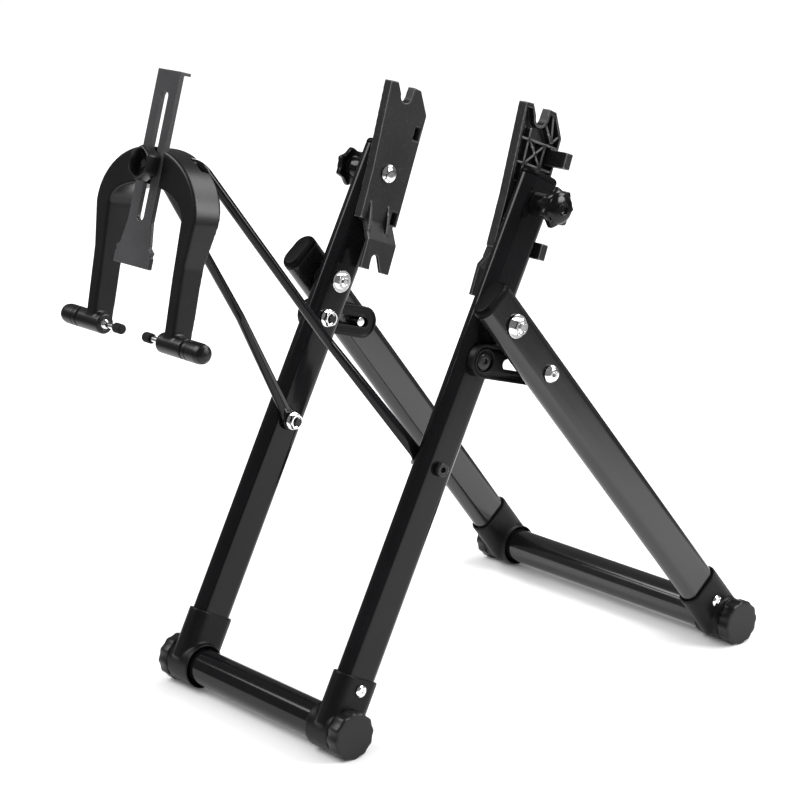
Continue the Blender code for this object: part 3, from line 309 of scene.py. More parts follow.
COATS = Coats()


# Outlines and turned sections

def arc(centre: Point, radius: float, start: float, end: float, steps: int) -> list[Point]:
    """Points along an arc, both ends included, with angles in degrees."""
    angles = [math.radians(start + (end - start) * step / steps) for step in range(steps + 1)]
    return [(centre[0] + radius * math.cos(a), centre[1] + radius * math.sin(a)) for a in angles]


def half_ellipse(half: float, rise: float, base: float, steps: int) -> list[Point]:
    """From the right foot over the top to the left foot."""
    angles = [math.pi * step / steps for step in range(steps + 1)]
    return [(half * math.cos(a), base + rise * math.sin(a)) for a in angles]


def flat_oval(width: float, thickness: float, steps: int = 24) -> list[Point]:
    """A tube section that is wide along its second coordinate."""
    reach = (width - thickness) / 2
    half = thickness / 2
    return arc((0, reach), half, 0, 180, steps) + arc((0, -reach), half, 180, 360, steps)


def oval_ring(width: float, thickness: float, height: float) -> list[Vector]:
    """A flat oval at a height."""
    return [Vector((x, y, height)) for x, y in flat_oval(width, thickness)]


def soften(points: Sequence[Point], cut: float, steps: int = 4,
           most: float = 0.45) -> list[Point]:
    """Round the inner corners of an open path.

    Args:
        points: The path.
        cut: How far from each corner its curve begins.
        steps: Pieces in each curve.
        most: The share of a side that one curve may take.

    Returns:
        The path with a short curve at each corner.
    """
    path = [points[0]]
    for before, corner, after in zip(points, points[1:], points[2:]):
        middle = Vector(corner)
        arms = (Vector(before) - middle, Vector(after) - middle)
        start, end = (middle + arm * min(most, cut / max(arm.length, 1e-9)) for arm in arms)
        for step in range(steps + 1):
            share = step / steps
            spot = start * (1 - share) ** 2 + middle * 2 * share * (1 - share) + end * share ** 2
            path.append((spot.x, spot.y))
    path.append(points[-1])
    return path


def disc(radius: float, start: float, end: float, ease: float) -> list[Point]:
    """The rim of a disc or a bar, as pairs of radius and x, with both corners cut by ease."""
    step = math.copysign(ease, end - start)
    return [(radius - ease, start), (radius, start + step), (radius, end - step),
            (radius - ease, end)]


def scaled(curve: Sequence[Point], radius: float, rise: float, base: float) -> list[Point]:
    """Pairs of radius and x from a curve drawn in shares of a radius and a rise over base."""
    return [(radius * across, base + rise * up) for across, up in curve]


def even(profile: Sequence[Point]) -> list[Station]:
    """Round stations from pairs of radius and x."""
    return [(plain(radius), along) for radius, along in profile]


def rolled(section: Callable[[float], Reach], start: float, end: float, near: Sequence[Point],
           far: Sequence[Point]) -> list[Station]:
    """Stations of a grip whose rims roll inwards.

    Args:
        section: The section that is smaller all round by a given amount.
        start: Where the grip begins.
        end: Where it ends.
        near: How much smaller it is at each distance in from start.
        far: How much smaller it is at each distance in from end.

    Returns:
        The stations from start to end.
    """
    return ([(section(less), start + depth) for less, depth in near]
            + [(section(less), end - depth) for less, depth in far])


def plain(radius: float) -> Reach:
    """A round section."""
    return lambda angle: radius


def hexagon(corner: float, limit: float = 1.0, first: float = 0.0) -> Reach:
    """A hexagon with a corner at the angle first, trimmed to a round limit."""
    flat = corner * math.cos(math.pi / 6)
    third, start = math.pi / 3, math.radians(first)
    return lambda angle: min(limit, flat / math.cos((angle - start) % third - math.pi / 6))


def lobed(radius: float, count: int, depth: float, first: float = 90.0,
          power: float = 1.0) -> Reach:
    """A wavy section.

    Args:
        radius: Out to its crests.
        count: How many crests.
        depth: Of its hollows.
        first: Where one crest is, in degrees.
        power: Over 1 for narrow hollows and broad crests.

    Returns:
        The radius at an angle.
    """
    start = math.radians(first)
    return lambda angle: radius - depth * ((1 - math.cos(count * (angle - start))) / 2) ** power


def hex_socket(top: float, corner: float, depth: float, lip: float,
               mouth: float) -> list[Station]:
    """Stations of a hexagon socket in a head.

    Args:
        top: The head's face.
        corner: The socket's radius to its corners.
        depth: How deep it is.
        lip: Height of its chamfer.
        mouth: The chamfer's radius at the face.

    Returns:
        The stations from the socket's floor to its mouth.
    """
    return [(hexagon(corner), top - depth), (hexagon(corner), top - lip), (hexagon(mouth), top)]


def thread(radius: float, start: float, end: float, pitch: float = 0.001, depth: float = 0.00042,
           crest: float = 0.2, root: float = 0.6) -> list[Station]:
    """Stations of a thread.

    Args:
        radius: Of its crests.
        start: Where it begins.
        end: How far it may go.
        pitch: Length of one turn.
        depth: Of its roots.
        crest: Where the crest ends, as a share of a turn.
        root: Where the root is, as a share of a turn.

    Returns:
        The stations of its whole turns.
    """
    step = math.copysign(pitch, end - start)
    turns = int(abs(end - start) / pitch)
    found = []
    for turn in range(turns):
        spot = start + turn * step
        found += [(radius, spot), (radius, spot + crest * step),
                  (radius - depth, spot + root * step)]
    return even(found + [(radius, start + turns * step)])


# Shapes

class Solid:
    """A closed shape under construction, in a frame of its own."""

    def __init__(self) -> None:
        """Start with nothing."""
        self.work = bmesh.new()

    def closed(self) -> "Solid":
        """Merge what meets and turn its faces outwards."""
        bmesh.ops.remove_doubles(self.work, verts=self.work.verts, dist=WELD)
        bmesh.ops.recalc_face_normals(self.work, faces=self.work.faces)
        return self

    @classmethod
    def turned(cls, profile: Sequence[Point], side: int = 1, steps: int = 96,
               ring: bool = False) -> "Solid":
        """Turn a profile about X.

        Args:
            profile: Pairs of radius and x.
            side: 1 towards +X, -1 towards -X.
            steps: Faces round it.
            ring: Whether the profile closes on itself.

        Returns:
            The turned shape.
        """
        solid = cls()
        verts = [solid.work.verts.new((side * along, 0, radius)) for radius, along in profile]
        pairs = list(zip(verts, verts[1:])) + ([(verts[-1], verts[0])] if ring else [])
        edges = [solid.work.edges.new(pair) for pair in pairs]
        bmesh.ops.spin(solid.work, geom=verts + edges, cent=(0, 0, 0), axis=(1, 0, 0),
                       angle=2 * math.pi, steps=steps, use_merge=True, use_duplicate=False)
        return solid.closed()

    @classmethod
    def skinned(cls, rings: Sequence[Sequence[Vector]], ring: bool = False) -> "Solid":
        """Draw a ring out through a row of rings.

        Args:
            rings: Rings with as many points each.
            ring: Whether the last one meets the first, without caps.

        Returns:
            The drawn shape.
        """
        solid = cls()
        verts = [solid.work.verts.new(spot) for spot in rings[0]]
        edges = [solid.work.edges.new(pair) for pair in zip(verts, verts[1:] + verts[:1])]
        ends = list(edges)
        for spots in list(rings[1:]) + ([rings[0]] if ring else []):
            made = bmesh.ops.extrude_edge_only(solid.work, edges=edges)["geom"]
            fresh = {item for item in made if isinstance(item, bmesh.types.BMVert)}
            verts = [next(far for far in (edge.other_vert(vert) for edge in vert.link_edges)
                          if far in fresh) for vert in verts]
            edges = [item for item in made if isinstance(item, bmesh.types.BMEdge)
                     and fresh.issuperset(item.verts)]
            for vert, spot in zip(verts, spots):
                vert.co = spot
        if not ring:
            bmesh.ops.contextual_create(solid.work, geom=ends)
            bmesh.ops.contextual_create(solid.work, geom=edges)
        return solid.closed()

    @classmethod
    def shaped(cls, stations: Sequence[Station], side: int = 1, steps: int = 96,
               ring: bool = False) -> "Solid":
        """Draw sections along X whose radius changes with the angle."""
        angles = [2 * math.pi * step / steps for step in range(steps)]
        rings = [[Vector((side * along, reach(a) * math.cos(a), reach(a) * math.sin(a)))
                  for a in angles] for reach, along in stations]
        return cls.skinned(rings, ring)

    @classmethod
    def slab(cls, outline: Sequence[Point], low: float, high: float, plane: Plane,
             rim: float = 0.0) -> "Solid":
        """Make an outline thick.

        Args:
            outline: The outline's corners.
            low: One face.
            high: The other face.
            plane: Where the outline lies.
            rim: Rounding of both rims.

        Returns:
            The slab.
        """
        solid = cls()
        verts = [solid.work.verts.new((across, up, low)) for across, up in outline]
        face = solid.work.faces.new(verts)
        made = bmesh.ops.extrude_face_region(solid.work, geom=[face])["geom"]
        moved = [item for item in made if isinstance(item, bmesh.types.BMVert)]
        bmesh.ops.translate(solid.work, verts=moved, vec=(0, 0, high - low))
        if rim:
            rims = {edge for flat in solid.work.faces if len(flat.verts) == len(outline)
                    for edge in flat.edges}
            bmesh.ops.bevel(solid.work, geom=list(rims), offset=rim, affect="EDGES", segments=4,
                            profile=0.5, material=-1, clamp_overlap=True)
        solid.turn(plane.value)
        bmesh.ops.recalc_face_normals(solid.work, faces=solid.work.faces)
        return solid

    @classmethod
    def brick(cls, low: Sequence[float], high: Sequence[float]) -> "Solid":
        """A cutter between two corners."""
        solid = cls()
        low, high = Vector(low), Vector(high)
        size = Matrix.Diagonal((*[abs(span) for span in high - low], 1))
        bmesh.ops.create_cube(solid.work, size=1,
                              matrix=Matrix.Translation((low + high) / 2) @ size)
        return solid

    @classmethod
    def rod(cls, radius: float, low: float, high: float, cut: float = 0.0) -> "Solid":
        """A round bar along X with eased ends."""
        low, high = sorted((low, high))
        profile = [(0, low), (radius, low), (radius, high), (0, high)]
        return cls.turned(soften(profile, cut) if cut else profile)

    @classmethod
    def copied(cls, node: str, place: Matrix) -> "Solid":
        """A merged copy of a CAD node, brought back from its place."""
        solid = cls()
        solid.work.from_mesh(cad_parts[node].data)
        bmesh.ops.remove_doubles(solid.work, verts=solid.work.verts, dist=CAD_WELD)
        return solid.turn(place.inverted())

    def turn(self, matrix: Matrix) -> "Solid":
        """Move or turn the whole shape."""
        bmesh.ops.transform(self.work, matrix=matrix, verts=self.work.verts)
        return self

    def _thing(self, name: str) -> bpy.types.Object:
        """Hand the shape over as an object in the scene."""
        mesh = bpy.data.meshes.new(name)
        self.work.to_mesh(mesh)
        thing = bpy.data.objects.new(name, mesh)
        bpy.context.scene.collection.objects.link(thing)
        return thing

    def _take(self, thing: bpy.types.Object) -> None:
        """Read a thing's finished mesh back and delete it."""
        bpy.context.view_layer.update()
        shape = thing.evaluated_get(bpy.context.evaluated_depsgraph_get())
        mesh = bpy.data.meshes.new_from_object(shape)
        self.work.clear()
        self.work.from_mesh(mesh)
        bpy.data.meshes.remove(mesh)
        bpy.data.meshes.remove(thing.data)

    def joined(self, joining: Joining, *tools: "Solid") -> "Solid":
        """Add other shapes or cut them away.

        Args:
            joining: Which of the two.
            tools: The other shapes, used up here.

        Returns:
            This shape.
        """
        thing = self._thing("shape")
        others = [tool._thing("tool") for tool in tools]
        for other in others:
            modifier = thing.modifiers.new("join", "BOOLEAN")
            modifier.operation = joining.value
            modifier.solver = "EXACT"
            modifier.object = other
        self._take(thing)
        for other, tool in zip(others, tools):
            bpy.data.meshes.remove(other.data)
            tool.work.free()
        return self

    def moulded(self, voxel: float, fillet: int, polish: int, pace: float = 0.6) -> "Solid":
        """Remesh finely, fill the inside corners and ease the edges.

        Args:
            voxel: Size of the new faces.
            fillet: Rounds of filling.
            polish: Rounds of easing.
            pace: How far each round moves a corner towards its neighbours' middle.

        Returns:
            This shape.
        """
        thing = self._thing("shape")
        remesh = thing.modifiers.new("remesh", "REMESH")
        remesh.mode = "VOXEL"
        remesh.voxel_size = voxel
        self._take(thing)
        mesh = bpy.data.meshes.new("ease")
        self.work.to_mesh(mesh)
        count = len(mesh.vertices)
        spots = np.empty(count * 3, np.float32)
        mesh.vertices.foreach_get("co", spots)
        ends = np.empty(len(mesh.edges) * 2, np.int32)
        mesh.edges.foreach_get("vertices", ends)
        spots, ends = spots.reshape(-1, 3).astype(float), ends.reshape(-1, 2)
        here = np.concatenate((ends[:, 0], ends[:, 1]))
        there = np.concatenate((ends[:, 1], ends[:, 0]))
        shares = np.bincount(here, minlength=count).clip(1)[:, None]
        facing = np.empty(count * 3, np.float32)
        for turn in range(fillet + polish):
            total = [np.bincount(here, spots[there, axis], count) for axis in range(3)]
            pull = np.stack(total, 1) / shares - spots
            if turn < fillet:
                mesh.vertices.foreach_set("co", spots.astype(np.float32).ravel())
                mesh.update()
                mesh.vertex_normals.foreach_get("vector", facing)
                pull *= ((pull * facing.reshape(-1, 3)).sum(1) > 0)[:, None]
            spots += pull * pace
        mesh.vertices.foreach_set("co", spots.astype(np.float32).ravel())
        self.work.clear()
        self.work.from_mesh(mesh)
        bpy.data.meshes.remove(mesh)
        return self

    def put(self, node: str, place: Matrix, finish: Finish, body: str,
            sharp: float = 40.0) -> bpy.types.Object:
        """Put the shape in a CAD node's stead.

        Args:
            node: The CAD node that it replaces.
            place: Its frame on the stand.
            finish: Its finish.
            body: The body that it rides on.
            sharp: Edges that turn by more degrees stay sharp.

        Returns:
            The finished object.
        """
        self.turn(place)
        thing = self._thing(f"{node}_piece")
        thing.data.materials.append(COATS.get(finish))
        thing.data.shade_smooth()
        thing.data.set_sharp_from_angle(angle=math.radians(sharp))
        self.work.free()
        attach(thing, body)
        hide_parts(node)
        LOG.info("%s: %d faces, rides on %s", thing.name, len(thing.data.polygons), body)
        return thing


# Where things stand

@dataclass(frozen=True)
class Layout:
    """Sizes that several pieces share, and the frames that follow from them."""

    gap: float = 0.0003
    bolt: float = 0.003
    hole: float = 0.0033
    bar: float = 0.0127
    bar_wall: float = 0.0012
    tube_width: float = 0.030
    tube_thickness: float = 0.014
    tube_wall: float = 0.0012
    upright_plane: float = 0.080
    upright_lean: float = math.radians(28.5)
    upright_length: float = 0.386
    bail_along: float = 0.1827
    plate_along: float = 0.3695
    pivot_along: float = 0.287
    link_along: float = 0.2593
    leg_plane: float = 0.1015
    leg_share: float = 1.1135
    leg_splay: float = math.atan(0.0343)
    slot_bolt_along: float = 0.0476
    socket_floor: float = 0.0144
    socket_half: float = 0.0093
    cap_radius: float = 0.0165
    foot_flat: float = 0.0006
    front_bar_y: float = -0.127043
    rear_bar_y: float = 0.333191
    bail_lean: float = math.radians(-33.1)
    yoke_lean: float = math.radians(12.8)
    rod_along: float = 0.2543
    screws: Point = (-0.0132, -0.1103)
    washer: float = 0.008
    washer_thickness: float = 0.0012
    flange: float = 0.0063
    hex_corner: float = 0.0057
    hex_height: float = 0.004
    thread_end: float = 0.0012

    @property
    def bar_height(self) -> float:
        """Height of both bars' axes."""
        return self.cap_radius - self.foot_flat

    @property
    def upright_in(self) -> float:
        """An upright's inner face."""
        return self.upright_plane - self.tube_thickness / 2

    @property
    def upright_out(self) -> float:
        """An upright's outer face."""
        return self.upright_plane + self.tube_thickness / 2

    @property
    def leg_reach(self) -> float:
        """From a leg's pivot to the rear bar's axis, seen from the side."""
        return self.leg_share * self.pivot_along

    @property
    def leg_lean(self) -> float:
        """How far a leg leans forward from its foot."""
        return -math.acos(self.pivot_along * math.cos(self.upright_lean) / self.leg_reach)

    @property
    def leg_length(self) -> float:
        """From a leg's pivot to the rear bar's axis."""
        return self.leg_reach / math.cos(self.leg_splay)

    @property
    def washer_tilt(self) -> float:
        """Room that a square washer needs beside a splayed leg."""
        return self.washer * math.tan(self.leg_splay)

    @property
    def link_in(self) -> float:
        """A link's inner face."""
        return self.upright_out + self.gap

    def place(self, x: float, y: float, z: float, lean: float = 0.0) -> Matrix:
        """A frame at a point measured from the front bar's axis, leaning back by lean."""
        spot = Matrix.Translation((x, self.front_bar_y + y, self.bar_height + z))
        return spot @ Matrix.Rotation(-lean, 4, "X")

    def upright(self, side: int) -> Matrix:
        """On the front bar's axis, with +Z up an upright."""
        return self.place(side * self.upright_plane, 0, 0, self.upright_lean)

    def on_upright(self, x: float, along: float, lean: float = 0.0) -> Matrix:
        """A frame at a height along the uprights."""
        return self.place(x, along * math.sin(self.upright_lean),
                          along * math.cos(self.upright_lean), lean)

    def leg(self, side: int) -> Matrix:
        """On the leg pivot, with +Z up a leg."""
        splay = Matrix.Rotation(-side * self.leg_splay, 4, "Y")
        return self.on_upright(side * self.leg_plane, self.pivot_along, self.leg_lean) @ splay

    def leg_foot(self, side: int) -> Matrix:
        """Where a leg's middle line meets the rear bar's axis."""
        return self.leg(side) @ Matrix.Translation((0, 0, -self.leg_length))

    def slot_bolt(self, side: int) -> Matrix:
        """On a leg at its slot bolt, square to the middle plane."""
        return Matrix.Translation(self.leg(side) @ Vector((0, 0, -self.slot_bolt_along)))

    @property
    def link_run(self) -> Vector:
        """From a link's pivot to the slot bolt, seen from the side."""
        run = self.slot_bolt(1).translation - self.on_upright(0, self.link_along).translation
        return Vector((0, run.y, run.z))

    def link(self) -> Matrix:
        """On the links' pivot, with +Z along the slots."""
        turn = Matrix.Rotation(-math.atan2(self.link_run.y, self.link_run.z), 4, "X")
        return self.on_upright(0, self.link_along) @ turn

    def bail(self) -> Matrix:
        """On the bail's pivot, with +Z up the bail."""
        return self.on_upright(0, self.bail_along, self.bail_lean)

    def yoke(self) -> Matrix:
        """On the bail's cross rod, with +Z up the yoke."""
        spot = self.bail() @ Vector((0, 0, self.rod_along))
        return Matrix.Translation(spot) @ Matrix.Rotation(-self.yoke_lean, 4, "X")


STAND = Layout()


# Hardware

@dataclass(frozen=True)
class Hardware:
    """Nuts, bolts and rivets, each turned about X from its seat outward."""

    layout: Layout = STAND
    ease: float = 0.00025
    washer_foot: float = 0.0002
    chamfer: tuple[float, ...] = (0.0008, 0.0005, 0.0003, 0.00015, 0.0)
    chamfer_share: float = 0.97
    chamfer_slope: float = 1.5
    thread_room: float = 0.0001
    thread_mouth: Row = ((0.0008, 0), (0.0006, 0.0013), (0, 0.0015))
    tip: float = 0.0006
    rivet_head: Point = (0.0042, 0.0017)
    rivet_pin: Row = ((0, 0.62), (0.0006, 0.60), (0.0009, 0.42), (0.0013, 0.5), (0.00155, 0.96))
    rivet_lip: float = 0.0016
    rivet_dome: Row = ((0.62, 0.93), (1, 0.42), (1, 0))
    rivet_shank: float = 0.0022
    rivet_cut: float = 0.0005

    def chamfered(self, start: float, end: float) -> list[Station]:
        """A hexagon from its washer side to its chamfered top."""
        corner = self.layout.hex_corner
        flat = corner * math.cos(math.pi / 6)
        found = [(hexagon(corner), start)]
        for drop in self.chamfer:
            limit = flat * self.chamfer_share + drop * self.chamfer_slope
            found.append((hexagon(corner, limit), end - math.copysign(drop, end - start)))
        return found

    def tail(self, end: float, length: float, way: int) -> list[Station]:
        """A bolt's thread and its eased tip at end, which points along X by way."""
        bolt = self.layout.bolt
        turns = thread(bolt, end - way * length, end - way * self.tip)
        return turns + even([(bolt - self.tip, end)])

    def nut(self, node: str, place: Matrix, side: int, seat: float, flange: float,
            body: str) -> None:
        """A flange nut.

        Args:
            node: The CAD node that it replaces.
            place: The frame of its axis.
            side: Which way it points along X.
            seat: Where it sits.
            flange: Its washer's radius.
            body: The body that it rides on.
        """
        flat = seat + self.layout.washer_thickness
        top = flat + self.layout.hex_height
        inner = self.layout.bolt + self.thread_room
        stations = even([(inner, seat), *disc(flange, seat, flat, self.ease),
                         (self.layout.hex_corner + self.washer_foot, flat)])
        stations += self.chamfered(flat, top)
        stations += even([(inner + wider, top - down) for wider, down in self.thread_mouth])
        Solid.shaped(stations, side, ring=True).put(node, place, ZINC, body, sharp=28)

    def rivet(self, node: str, place: Matrix, side: int, body: str) -> None:
        """A blind rivet with its broken mandrel in the middle of its head."""
        radius, height = self.rivet_head
        face = self.layout.socket_half + self.layout.gap
        inner = self.layout.tube_thickness / 2 - 2 * self.layout.tube_wall
        profile = scaled(self.rivet_pin, 1, height, face)
        dome = scaled(self.rivet_dome, radius, height, face)
        profile += soften([(self.rivet_lip, face + height), *dome, (self.rivet_shank, face)],
                          self.rivet_cut)
        profile += [(self.rivet_shank, inner), (0, inner)]
        Solid.turned(profile, side).put(node, place, ZINC, body, sharp=50)


HARDWARE = Hardware()


# Front frame: bar, uprights and their fittings

@dataclass
class Tubing:
    """Round cross bars and flat-oval tubes with their moulded plugs."""

    layout: Layout = STAND
    plug_insert: float = 0.008
    plug_bend: float = 0.75
    plug_edge: float = 0.0008
    plug_lead: Point = (0.0008, 0.0006)
    plug_rim: Point = (0.0003, 0.0002)
    rim: float = 0.0003

    def bar(self, node: str, half: float, y: float, finish: Finish, body: str) -> None:
        """A round cross bar with eased open ends."""
        outer, inner = self.layout.bar, self.layout.bar - self.layout.bar_wall
        profile = [(inner, -half), *disc(outer, -half, half, self.rim), (inner, half)]
        bar = Solid.turned(profile, steps=128, ring=True)
        bar.put(node, self.layout.place(0, y, 0), finish, body)

    def tube(self, low: float, high: float) -> Solid:
        """A flat-oval tube along Z."""
        wide, thick, wall = (self.layout.tube_width, self.layout.tube_thickness,
                             2 * self.layout.tube_wall)
        levels = [(0, low + self.rim), (0, high - self.rim), (2 * self.rim, high), (wall, high),
                  (wall, low), (2 * self.rim, low)]
        return Solid.skinned([oval_ring(wide - less, thick - less, z) for less, z in levels],
                             True)

    def plug(self, node: str, place: Matrix, low: float, height: float, body: str) -> None:
        """A moulded cap, rounded across its width, over an insert.

        Args:
            node: The CAD node that it replaces.
            place: The tube's frame.
            low: Where the cap begins.
            height: How tall the cap is.
            body: The body that it rides on.
        """
        wide, thick = self.layout.tube_width, self.layout.tube_thickness
        slack = 2 * (self.layout.tube_wall + self.layout.gap)
        foot = low - self.plug_insert
        lead, rim = self.plug_lead, self.plug_rim
        levels = [(slack + lead[0], foot), (slack, foot + lead[1]), (slack, low), (rim[0], low),
                  (0, low + rim[1])]
        rings = [oval_ring(wide - less, thick - less, z) for less, z in levels]
        bend = height * self.plug_bend
        for angle in range(0, 91, 9):
            turn = math.radians(angle)
            less = 2 * (1 - math.cos(turn))
            z = low + height - bend + bend * math.sin(turn)
            rings.append(oval_ring(wide - less * bend, thick - less * self.plug_edge, z))
        Solid.skinned(rings).put(node, place, SHADED_PLUG_MOULDING, body, sharp=50)


@dataclass
class Corners:
    """Moulded corner connectors and scalloped end caps."""

    layout: Layout = STAND
    sleeve: float = 0.0157
    sleeve_ease: float = 0.0007
    wall: float = 0.002
    clearance: float = 0.0003
    socket_rim: Point = (0.0012, 0.0008)
    socket_lead: Triple = (0.0012, 0.001, 0.0004)
    mouth: Point = (0.0148, 0.003)
    mould: Mould = (0.00055, 26, 3)
    cap_thickness: float = 0.0097
    cap_plug: float = 0.014
    cap_lead: float = 0.001
    cap_lobes: int = 12
    cap_scallop: float = 0.0008
    cap_crest: float = 0.8
    cap_back: Row = ((0.001, 0), (0.0003, 0.0003), (0, 0.001))
    cap_front: Row = ((0, 0.0014), (0.0003, 0.0007), (0.001, 0.0002), (0.0018, 0))
    cap_face: Point = (0.0128, 0.006)

    def connector(self, node: str, side: int, reach: Triple, place: Matrix, splay: Matrix,
                  body: str) -> None:
        """A sleeve on the bar and a socket for the tube.

        Args:
            node: The CAD node that it replaces.
            side: 1 right, -1 left.
            reach: The sleeve's inner and outer end from the tube's plane, and the socket's top.
            place: On the bar's axis, with +Z up the tube as seen from the side.
            splay: From there to the tube's own frame.
            body: The body that it rides on.
        """
        low, high, top = reach
        wide, thick = self.layout.tube_width, self.layout.tube_thickness
        more = 2 * (self.wall + self.clearance)
        room = 2 * self.clearance
        rim, drop = self.socket_rim
        flare, below, above = self.socket_lead
        levels = ((0, 0), (0, top - drop), (-rim, top))
        shell = Solid.skinned([oval_ring(wide + more + grow, thick + more + grow, z)
                               for grow, z in levels])
        levels = ((0, self.layout.socket_floor), (0, top - below), (flare, top + above),
                  (flare, 2 * top))
        space = Solid.skinned([oval_ring(wide + room + grow, thick + room + grow, z)
                               for grow, z in levels])
        piece = Solid.rod(self.sleeve, side * low, side * high, self.sleeve_ease)
        piece.joined(Joining.ADD, shell.turn(splay))
        bore = self.layout.bar + self.layout.gap
        radius, depth = self.mouth
        past = self.sleeve
        piece.joined(Joining.CUT, space.turn(splay),
                     Solid.rod(bore, side * (low - past), side * (high + past)),
                     Solid.rod(radius, side * (low - past), side * (low + depth)))
        piece.moulded(*self.mould).put(node, place, MOULDING, body, sharp=80)

    def scallop(self, less: float) -> Reach:
        """An end cap's wavy section, smaller by less."""
        return lobed(self.layout.cap_radius - less, self.cap_lobes, self.cap_scallop, -90,
                     self.cap_crest)

    def cap(self, node: str, side: int, start: float, y: float, body: str) -> None:
        """A scalloped end cap with a flat foot and a plug that fits the bar."""
        end = start + self.cap_thickness
        plug = self.layout.bar - self.layout.bar_wall - self.layout.gap
        foot = start - self.cap_plug
        stations = even([(plug - self.cap_lead, foot), (plug, foot + self.cap_lead),
                         (plug, start)])
        stations += rolled(self.scallop, start, end, self.cap_back, self.cap_front)
        stations += even([(radius, end) for radius in self.cap_face])
        cap = Solid.shaped(stations, side, steps=192)
        for vert in cap.work.verts:
            vert.co.z = max(vert.co.z, -self.layout.bar_height)
        cap.put(node, self.layout.place(0, y, 0), LIT_CAP_MOULDING, body, sharp=45)


@dataclass
class FrontFrame:
    """The front bar, the uprights and everything that stays on them."""

    layout: Layout = STAND
    tubing: Tubing = field(default_factory=Tubing)
    corners: Corners = field(default_factory=Corners)
    sleeve: Point = (0.014, 0.0095)
    socket: float = 0.0367
    rivet_along: float = 0.0287
    plug: float = 0.0038
    spacer: float = 0.008
    spacer_ease: float = 0.0004
    pin_share: float = 0.72
    pin_ease: Point = (0.0004, 0.0003)
    groove: Point = (0.0002, 0.0026)
    sunk: float = 0.001
    washer_ease: float = 0.0003
    thread_length: float = 0.005
    bore_end: float = 0.03

    def build(self) -> None:
        """Make both sides and the bar."""
        stand = self.layout
        outer = stand.upright_plane + self.sleeve[1]
        self.tubing.bar("front_bar", outer - stand.gap, 0, GLOSS_PAINT, "frame")
        for word, side in SIDES.items():
            place = stand.upright(side)
            tube = self.tubing.tube(stand.socket_floor, stand.upright_length)
            holes = [(self.rivet_along, stand.tube_wall)]
            holes += [(along, -self.bore_end) for along in
                      (stand.bail_along, stand.link_along, stand.pivot_along, stand.plate_along)]
            bores = [Solid.rod(stand.hole, start * side, self.bore_end * side).turn(
                Matrix.Translation((0, 0, along))) for along, start in holes]
            tube.joined(Joining.CUT, *bores).put(f"upright_{word}", place, GLOSS_PAINT, "frame")
            self.tubing.plug(f"upright_plug_{word}", place, stand.upright_length + stand.gap,
                             self.plug, "frame")
            self.corners.connector(f"front_connector_{word}", side,
                                   (-self.sleeve[0], self.sleeve[1], self.socket), place,
                                   Matrix.Identity(4), "frame")
            HARDWARE.rivet(f"front_rivet_{word}",
                           place @ Matrix.Translation((0, 0, self.rivet_along)), side, "frame")
            self.corners.cap(f"front_cap_{word}", side, outer + stand.gap, 0, "frame")
            self.pivot(word, side)

    def pivot(self, word: str, side: int) -> None:
        """The bolt that a leg turns on, with its spacer and outer nut.

        Its inner end is a sunk pin with a groove round it, in a hexagon.
        """
        stand = self.layout
        place = stand.on_upright(0, stand.pivot_along)
        half = stand.tube_thickness / 2
        inner = stand.leg_plane - half - stand.washer_tilt - stand.gap
        start = stand.upright_out + stand.gap
        profile = [(stand.hole, start), *disc(self.spacer, start, inner, self.spacer_ease),
                   (stand.hole, inner)]
        Solid.turned(profile, side, ring=True).put(f"pivot_spacer_{word}", place, MOULDING, "frame")
        seat = stand.leg_plane + half + stand.gap + stand.washer_tilt
        HARDWARE.nut(f"pivot_nut_{word}", place, side, seat, stand.washer, "frame")
        end = seat + stand.washer_thickness + stand.hex_height + stand.thread_end
        face = stand.upright_in - stand.gap
        rim = face - stand.washer_thickness
        tip = rim - stand.hex_height
        pin = stand.bolt * self.pin_share
        less, down = self.pin_ease
        wider, deep = self.groove
        stations = even([(pin - less, tip), (pin, tip + down), (pin, tip + deep),
                         (stand.bolt, tip + deep), (stand.bolt + wider, tip + self.sunk)])
        stations += reversed(HARDWARE.chamfered(rim, tip + self.sunk))
        stations += even([(stand.washer - self.washer_ease, rim),
                          (stand.washer, rim + self.washer_ease), (stand.washer, face),
                          (stand.bolt, face)])
        stations += HARDWARE.tail(end, self.thread_length, 1)
        Solid.shaped(stations, side).put(f"pivot_bolt_{word}", place, ZINC, "frame", sharp=28)


# Rear legs and fold

